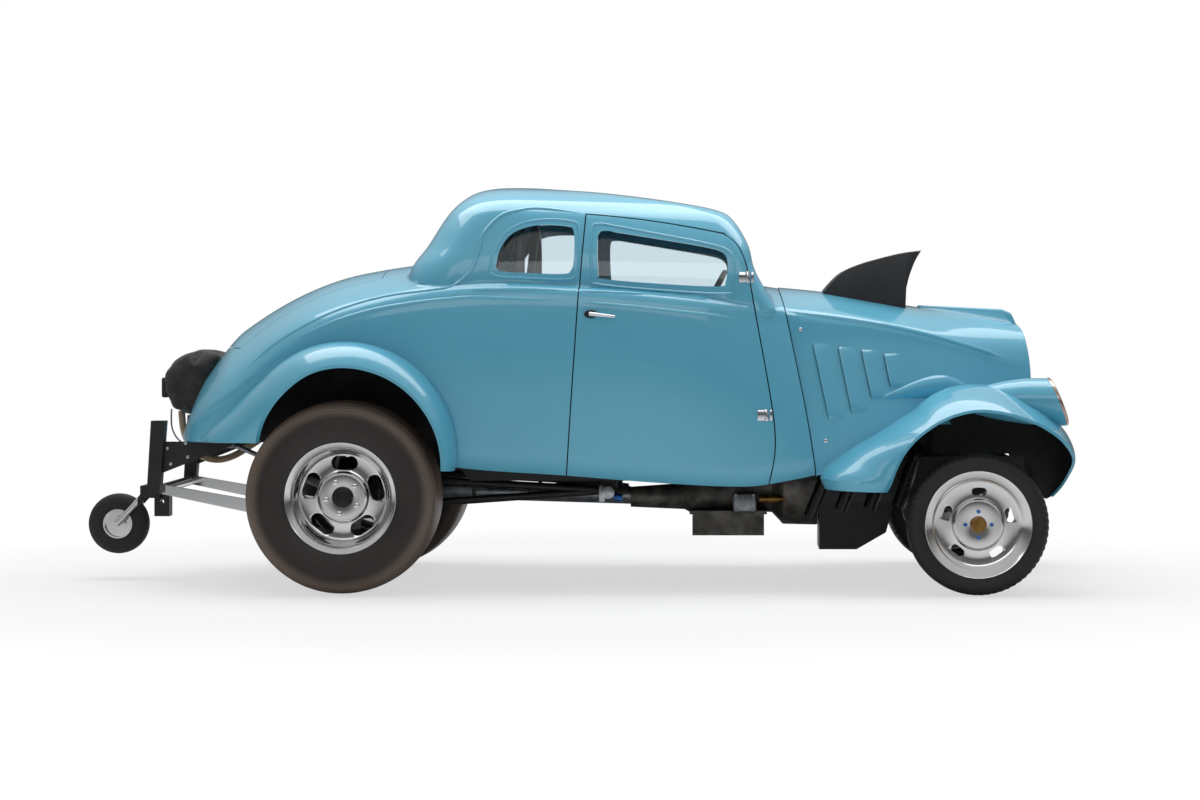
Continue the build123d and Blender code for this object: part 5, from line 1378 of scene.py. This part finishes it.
rear_y = tyre_face_y - rear_tyre_half_width
front_y = tyre_face_y - front_tyre_half_width
rear_tyre = lathe(both_walls([
    (0.222, -0.150), (0.232, -0.158), (0.242, -0.160), (0.262, -0.1655), (0.290, -0.1690),
    (0.318, -0.1695), (0.340, -0.1670), (0.356, -0.1620), (0.368, -0.1530), (0.3765, -0.1400),
    (0.3805, -0.1250), (0.3840, -0.0900), (0.3870, -0.0450), (0.3880, 0.0),
], [(0.200, 0.120), (0.200, -0.120)]), 128)
rear_rim = lathe([
    (0.2180, -0.150), (0.2215, -0.1520), (0.2245, -0.1500), (0.2250, -0.1460), (0.2245, -0.1400),
    (0.2150, -0.1350), (0.2060, -0.1250), (0.1980, -0.1000), (0.1930, 0.100), (0.2060, 0.125),
    (0.2150, 0.135), (0.2245, 0.140), (0.2250, 0.1500), (0.2190, 0.150), (0.2090, 0.138),
    (0.1900, 0.120), (0.1850, 0.000), (0.1780, -0.030), (0.060, -0.030), (0.060, 0.060),
    (0.021, 0.060), (0.021, -0.076), (0.090, -0.076), (0.0970, -0.0720), (0.1000, -0.0640),
    (0.1040, -0.0580), (0.1120, -0.0560), (0.1600, -0.0560), (0.1700, -0.0580), (0.1770, -0.0640),
    (0.1810, -0.0740), (0.1840, -0.0900), (0.1900, -0.1200), (0.2000, -0.1380), (0.2110, -0.1460),
    (0.2180, -0.150),
], 128)
rear_rim = softened(bored_slots(rear_rim, 5, 16, 0.137, 0.106, 0.058, 0.12), 0.004, 3)
rear_nuts = softened(ring_of(5, 0.066, 43, bolt_head(0.011, 0.020, 0.076)), 0.002)
rear_cap = lathe([(0.0, -0.090), (0.034, -0.090), (0.041, -0.087), (0.043, -0.080),
                  (0.043, -0.074), (0.0, -0.074)])
tread_steps, block_steps = 192, 3
groove_depth, groove_from_r, groove_from_y = 0.004, 0.2655, 0.050
front_tyre = lathe(both_walls([
    (0.213, -0.066), (0.222, -0.0740), (0.232, -0.0790), (0.245, -0.0830), (0.256, -0.0835),
    (0.266, -0.0800), (0.274, -0.0730), (0.2790, -0.0640), (0.2815, -0.0540), (0.2830, -0.0300),
    (0.2840, 0.0),
], [(0.195, 0.050), (0.195, -0.050)]), tread_steps)
for vert in front_tyre.verts:
    step = round(math.atan2(vert.co.z, vert.co.x) / (2 * math.pi) * tread_steps)
    radius = math.hypot(vert.co.x, vert.co.z)
    if step % block_steps == 0 and radius > groove_from_r and abs(vert.co.y) > groove_from_y:
        vert.co.x *= (radius - groove_depth) / radius
        vert.co.z *= (radius - groove_depth) / radius
front_rim = lathe([
    (0.2090, -0.066), (0.2125, -0.0675), (0.2155, -0.0660), (0.2160, -0.0620), (0.2120, -0.0570),
    (0.2040, -0.0500), (0.1960, -0.0350), (0.1900, 0.030), (0.2040, 0.050), (0.2120, 0.057),
    (0.2160, 0.062), (0.2160, 0.066), (0.2100, 0.066), (0.2000, 0.055), (0.1840, 0.030),
    (0.1780, -0.010), (0.1500, -0.018), (0.060, -0.018), (0.060, 0.056), (0.0223, 0.056),
    (0.0223, -0.052), (0.0930, -0.052), (0.0980, -0.049), (0.1010, -0.042), (0.1060, -0.0370),
    (0.1150, -0.0360), (0.1600, -0.0360), (0.1700, -0.0390), (0.1760, -0.0430), (0.1810, -0.0480),
    (0.1880, -0.0540), (0.1980, -0.0600), (0.2090, -0.066),
], 128)
front_rim = softened(bored_slots(front_rim, 5, 16, 0.131, 0.060, 0.032, 0.08), 0.003, 3)
front_bolts = softened(ring_of(4, 0.052, 0, bolt_head(0.0085, 0.010, 0.052)), 0.0015)
front_cap = lathe([(0.0, -0.070), (0.024, -0.069), (0.031, -0.064), (0.033, -0.056),
                   (0.033, -0.051), (0.0, -0.051)])

# The wheels' pieces. The tyres and rims stand for the CAD nodes that they are named after.
rear_hub, front_hub = (rear_axle_x, rear_wheel_z, rear_y), (front_axle_x, front_wheel_z, front_y)
for side in ("left", "right"):
    for body, hub, name, ending, shape, finish in (
            ("rear_wheel_", rear_hub, "rear_tyre_", "_rubber", rear_tyre, slick_rubber),
            ("rear_wheel_", rear_hub, "rear_rim_", "_casting", rear_rim, polished_alloy),
            ("rear_wheel_", rear_hub, "rear_nuts_", "", rear_nuts, chrome_plate),
            ("rear_wheel_", rear_hub, "rear_cap_", "", rear_cap, dark_cast),
            ("front_wheel_", front_hub, "front_tyre_", "_rubber", front_tyre, road_rubber),
            ("front_wheel_", front_hub, "front_rim_", "_casting", front_rim, polished_alloy),
            ("front_wheel_", front_hub, "front_bolts_", "", front_bolts, blue_fitting),
            ("front_wheel_", front_hub, "front_cap_", "", front_cap, brass_plate)):
        nodes = (name + side,) if ending else ()
        finished(name + side + ending, on_wheel(shape.copy(), *hub, side), finish, body + side,
                 *nodes)


# Scoop: its side view, from the low rear corner over the top to the low front one
scoop_outline = [
    (0.766, 0.60), (0.766, 0.735), (0.780, 0.761), (0.799, 0.787), (0.826, 0.805), (0.857, 0.819),
    (0.895, 0.833), (0.929, 0.840), (0.919, 0.814), (0.910, 0.779), (0.904, 0.744), (0.900, 0.60),
]


scoop_half_width, scoop_wall = 0.150, 0.007


def scoop_shape():
    """A tall shark-fin scoop with an open front."""
    back = curve_through(side_outline(scoop_outline[1:8]), 24)
    front = curve_through(side_outline(scoop_outline[7:11]), 10)
    outline = side_outline(scoop_outline[:1]) + back + front[1:] + side_outline(scoop_outline[11:])
    outer = prism(outline, -scoop_half_width, scoop_half_width)
    upper = [edge for edge in outer.edges if abs(edge.verts[0].co.y - edge.verts[1].co.y) < 1e-6
             and edge.calc_face_angle() > 0.8 and min(v.co.z for v in edge.verts) > sz(0.735)]
    rounded(outer, upper, 0.030, 5)
    inside = [(x + 0.006, z - scoop_wall) for x, z in back]
    low, ahead = sz(0.60), sx(1.0)
    hollow = [(inside[0][0], low)] + inside + [(ahead, inside[-1][1]), (ahead, low)]
    inner = prism(hollow, -scoop_half_width + scoop_wall, scoop_half_width - scoop_wall)
    return cut(cut(outer, inner), nose_skin.copy())


finished("scoop_moulding", scoop_shape(), scoop_paint, "front_clip", "scoop")

# Parachute pack: a stuffed nylon bag against the tail, under a flap that hangs over its sides
pack_outline = [
    (-1.500, 0.708), (-1.625, 0.712), (-1.688, 0.726), (-1.716, 0.800), (-1.721, 0.880),
    (-1.690, 0.920), (-1.632, 0.962), (-1.480, 0.970),
]
flap_path = [
    (-1.712, 0.862), (-1.730, 0.880), (-1.726, 0.903), (-1.703, 0.932), (-1.668, 0.957),
    (-1.632, 0.975), (-1.570, 0.980), (-1.500, 0.978), (-1.440, 0.972),
]
pack_half_width = 0.142
swell_limit = 0.014
flap_thickness = 0.003


def stuffed(shape, voxel, pressure):
    """Swells a closed form from within as stuffed cloth does, no point further than the limit."""
    made = placed("passing", as_mesh(shape))
    plain = made.data
    change = made.modifiers.new("even", "REMESH")
    change.mode = "VOXEL"
    change.voxel_size = voxel
    dense = worked_mesh(made)
    made.modifiers.clear()
    made.data = dense
    start = [vert.co.copy() for vert in dense.vertices]
    swollen = start
    cloth = made.modifiers.new("cloth", "CLOTH")
    cloth.settings.use_pressure = True
    cloth.settings.uniform_pressure_force = pressure
    cloth.settings.effector_weights.gravity = 0.0
    for moment in range(1, 21):
        scene.frame_set(moment)
    held = made.evaluated_get(bpy.context.evaluated_depsgraph_get())
    swollen = [vert.co.copy() for vert in held.data.vertices]
    made.modifiers.clear()
    scene.frame_set(1)
    for vert, first, last in zip(dense.vertices, start, swollen):
        move = last - first
        if move.length > swell_limit:
            move *= swell_limit / move.length
        vert.co = first + move
    bpy.data.objects.remove(made)
    bpy.data.meshes.remove(plain)
    return as_shape(dense)


def creased(shape, folds, depth, stretch):
    """Presses soft folds into cloth."""
    def fold(spot):
        stretched = Vector(a * b for a, b in zip(spot, stretch))
        return abs(noise.noise(stretched * folds)) * 2 - 0.6

    shape.normal_update()
    moves = [vert.normal * depth * fold(vert.co) for vert in shape.verts]
    for vert, move in zip(shape.verts, moves):
        vert.co += move
    return shape


flap_steps = 59
flap_flat_share = 0.72


def pack_flap():
    """The flap over the top, its sides hanging lower towards the rear."""
    path = curve_through(flap_path, flap_steps + 1)

    def place(u, v):
        x, z = path[min(round(u * flap_steps), flap_steps)]
        across = 2 * v - 1
        drop = 0.085 - 0.045 * u
        over = max(abs(across) - flap_flat_share, 0) / (1 - flap_flat_share)
        y = (pack_half_width + 0.013) * min(abs(across) / flap_flat_share, 1)
        y += 0.006 * math.sin(over * 9 + u * 14)
        return (x, math.copysign(y, across), z - drop * over ** 1.4 * min(u * 6 + 0.15, 1))

    sheet = laid_grid(flap_steps, 64, place)
    return backed(creased(sheet, 16.0, 0.006, (1.0, 0.6, 1.0)), flap_thickness)


pack_body = prism(pack_outline, -pack_half_width + 0.008, pack_half_width - 0.008)
pack_body = stuffed(softened(pack_body, 0.022, 4), 0.006, 4.0)
pack_body = cut(creased(pack_body, 13.0, 0.006, (1.0, 0.8, 0.45)), outer_skin.copy())
pack = finished("parachute_bag", joined(pack_body, cut(pack_flap(), outer_skin.copy())), pack_cloth,
                "chassis", "parachute_pack", crease=70)
loop = softened(box(-1.738, -1.712, -0.098, -0.048, 0.775, 0.860), 0.008, 3)
finished("pack_buckle", loop, seat_vinyl, "chassis")


# Small parts under the car
def bar_across(x, z, y0, y1, radius, sides):
    """A round bar, or a six-sided head, across the car."""
    return round_bar((x, y0, z), (x, y1, z), radius, sides)


bolts = joined(*(softened(bar_across(x, z, -0.377, -0.369, 0.008, 6), 0.001) for x, z in (
    (-1.655, 0.573), (-1.578, 0.594), (-1.570, 0.537), (-1.640, 0.508))))
finished("plate_bolts", on_both_sides(bolts), zinc_plate, "chassis")
cover = softened(box(0.680, 0.782, -0.168, -0.140, 0.292, 0.378), 0.012, 3)
cover = joined(cover, *(bar_across(x, z, -0.174, -0.166, 0.007, 6)
                        for x in (0.694, 0.768) for z in (0.304, 0.366)))
finished("gearbox_side_cover", cover, bare_steel, "chassis")
sleeve = softened(round_bar((0.792, -0.150, 0.350), (0.872, -0.150, 0.350), 0.017, 24), 0.002)
sleeve = joined(sleeve, round_bar((0.862, -0.150, 0.350), (0.905, -0.150, 0.350), 0.010, 20))
finished("shift_sleeve", sleeve, brass_plate, "chassis")
rod_end = joined(softened(bar_across(0.165, 0.392, -0.395, -0.350, 0.027, 32), 0.003),
                 softened(box(0.128, 0.152, -0.385, -0.360, 0.352, 0.420), 0.003))
finished("rod_ends", on_both_sides(rod_end), zinc_plate, "chassis")
nut = softened(round_bar((0.190, -0.372, 0.372), (0.224, -0.372, 0.368), 0.017, 6), 0.002)
finished("rod_nuts", on_both_sides(nut), blue_fitting, "chassis")

# Finishes of the CAD nodes that stay
cad_finishes = {
    "frame_rails": frame_black, "cross_members": frame_black, "floor_pan": inside_black,
    "wheel_tubs": inside_black, "engine_block": engine_paint, "gearbox": cast_alloy,
    "oil_pan": frame_black, "headers": header_black, "driveshaft": bare_steel,
    "rear_axle": frame_black, "ladder_bars": frame_black, "rear_shocks": bare_steel,
    "front_axle": frame_black, "leaf_springs": frame_black, "knuckle_left": frame_black,
    "knuckle_right": frame_black, "steering_column": frame_black, "steering_wheel": seat_vinyl,
    "tie_rod": bare_steel, "seat": seat_vinyl, "roll_cage": frame_black, "radiator": cast_alloy,
    "push_bars": frame_black, "wheelie_bars": chromed_bars, "wheelie_rim": polished_alloy,
    "wheelie_tyre": small_rubber, "grille": chrome_plate, "dashboard": inside_black,
}
for node_name, finish in cad_finishes.items():
    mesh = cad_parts[node_name].data
    mesh.materials.clear()
    mesh.materials.append(finish)


# Floor, world and lamps
def looked_at(tree):
    """1 where the camera looks, straight or through glass."""
    path = add_node(tree, "ShaderNodeLightPath").outputs
    return reckoned(tree, "MAXIMUM", path["Is Camera Ray"], path["Is Transmission Ray"])


def studio_floor():
    """A plain pale floor that fades into white around the car."""
    shape = bmesh.new()
    bmesh.ops.create_grid(shape, x_segments=1, y_segments=1, size=40)
    made, tree = new_finish("pale_studio_floor")
    cloth = add_node(tree, "ShaderNodeBsdfPrincipled",
                     {"Base Color": colour("F7F7F7"), "Roughness": 0.9, "Specular IOR Level": 0.1})
    far = add_node(tree, "ShaderNodeEmission", {"Color": (1, 1, 1, 1), "Strength": 1.0})
    middle = add_node(tree, "ShaderNodeMapping",
                      {"Vector": own_place(tree), "Scale": (0.36, 0.45, 1.0)}).outputs["Vector"]
    reach = reckoned(tree, "LENGTH", middle, kind="ShaderNodeVectorMath", output="Value")
    fade = ranged(tree, reach, (0.75, 1.35), kind="SMOOTHSTEP")
    share = reckoned(tree, "MULTIPLY", ranged(tree, fade, to=(0.62, 1.0)), looked_at(tree))
    surface = add_node(tree, "ShaderNodeMixShader",
                       {0: share, 1: cloth.outputs[0], 2: far.outputs[0]})
    add_node(tree, "ShaderNodeOutputMaterial", {"Surface": surface.outputs[0]})
    floor = placed("studio_floor", as_mesh(shape, "studio_floor"))
    floor.data.materials.append(made)


def studio_world():
    """A white world to look at, weaker as light, and darker towards the floor in reflections."""
    world = bpy.data.worlds.new("studio_world")
    scene.world = world
    world.use_nodes = True
    tree = world.node_tree
    tree.nodes.clear()
    facing = add_node(tree, "ShaderNodeTexCoord").outputs["Generated"]
    level = add_node(tree, "ShaderNodeSeparateXYZ", {"Vector": facing}).outputs["Z"]
    dim = ranged(tree, level, (0.05, 0.55), (0.12, 0.60), "SMOOTHSTEP")
    mirrored = add_node(tree, "ShaderNodeLightPath").outputs["Is Glossy Ray"]
    glossy = ranged(tree, mirrored, to=(0.32, dim))
    strength = ranged(tree, looked_at(tree), to=(glossy, 1.0))
    sky = add_node(tree, "ShaderNodeBackground", {"Color": (1, 1, 1, 1), "Strength": strength})
    add_node(tree, "ShaderNodeOutputWorld", {"Surface": sky.outputs["Background"]})


def studio_lamps():
    """A large soft lamp overhead and a weaker one on the photo's side."""
    for name, place, size, power, aim in (
            ("overhead_softbox", (0.2, 0.2, 4.2), (7.0, 2.6), 190.0, (0.2, 0.2, 0.6)),
            ("side_softbox", (0.2, -7.0, 3.4), (7.0, 1.6), 45.0, (0.2, 0, 0.6))):
        data = bpy.data.lights.new(name, "AREA")
        data.shape = "RECTANGLE"
        data.size, data.size_y = size
        data.energy = power
        lamp = placed(name, data)
        lamp.location = place
        lamp.rotation_euler = (Vector(aim) - Vector(place)).to_track_quat("-Z", "Y").to_euler()


studio_floor()
studio_world()
studio_lamps()
scene.view_settings.view_transform = "Standard"
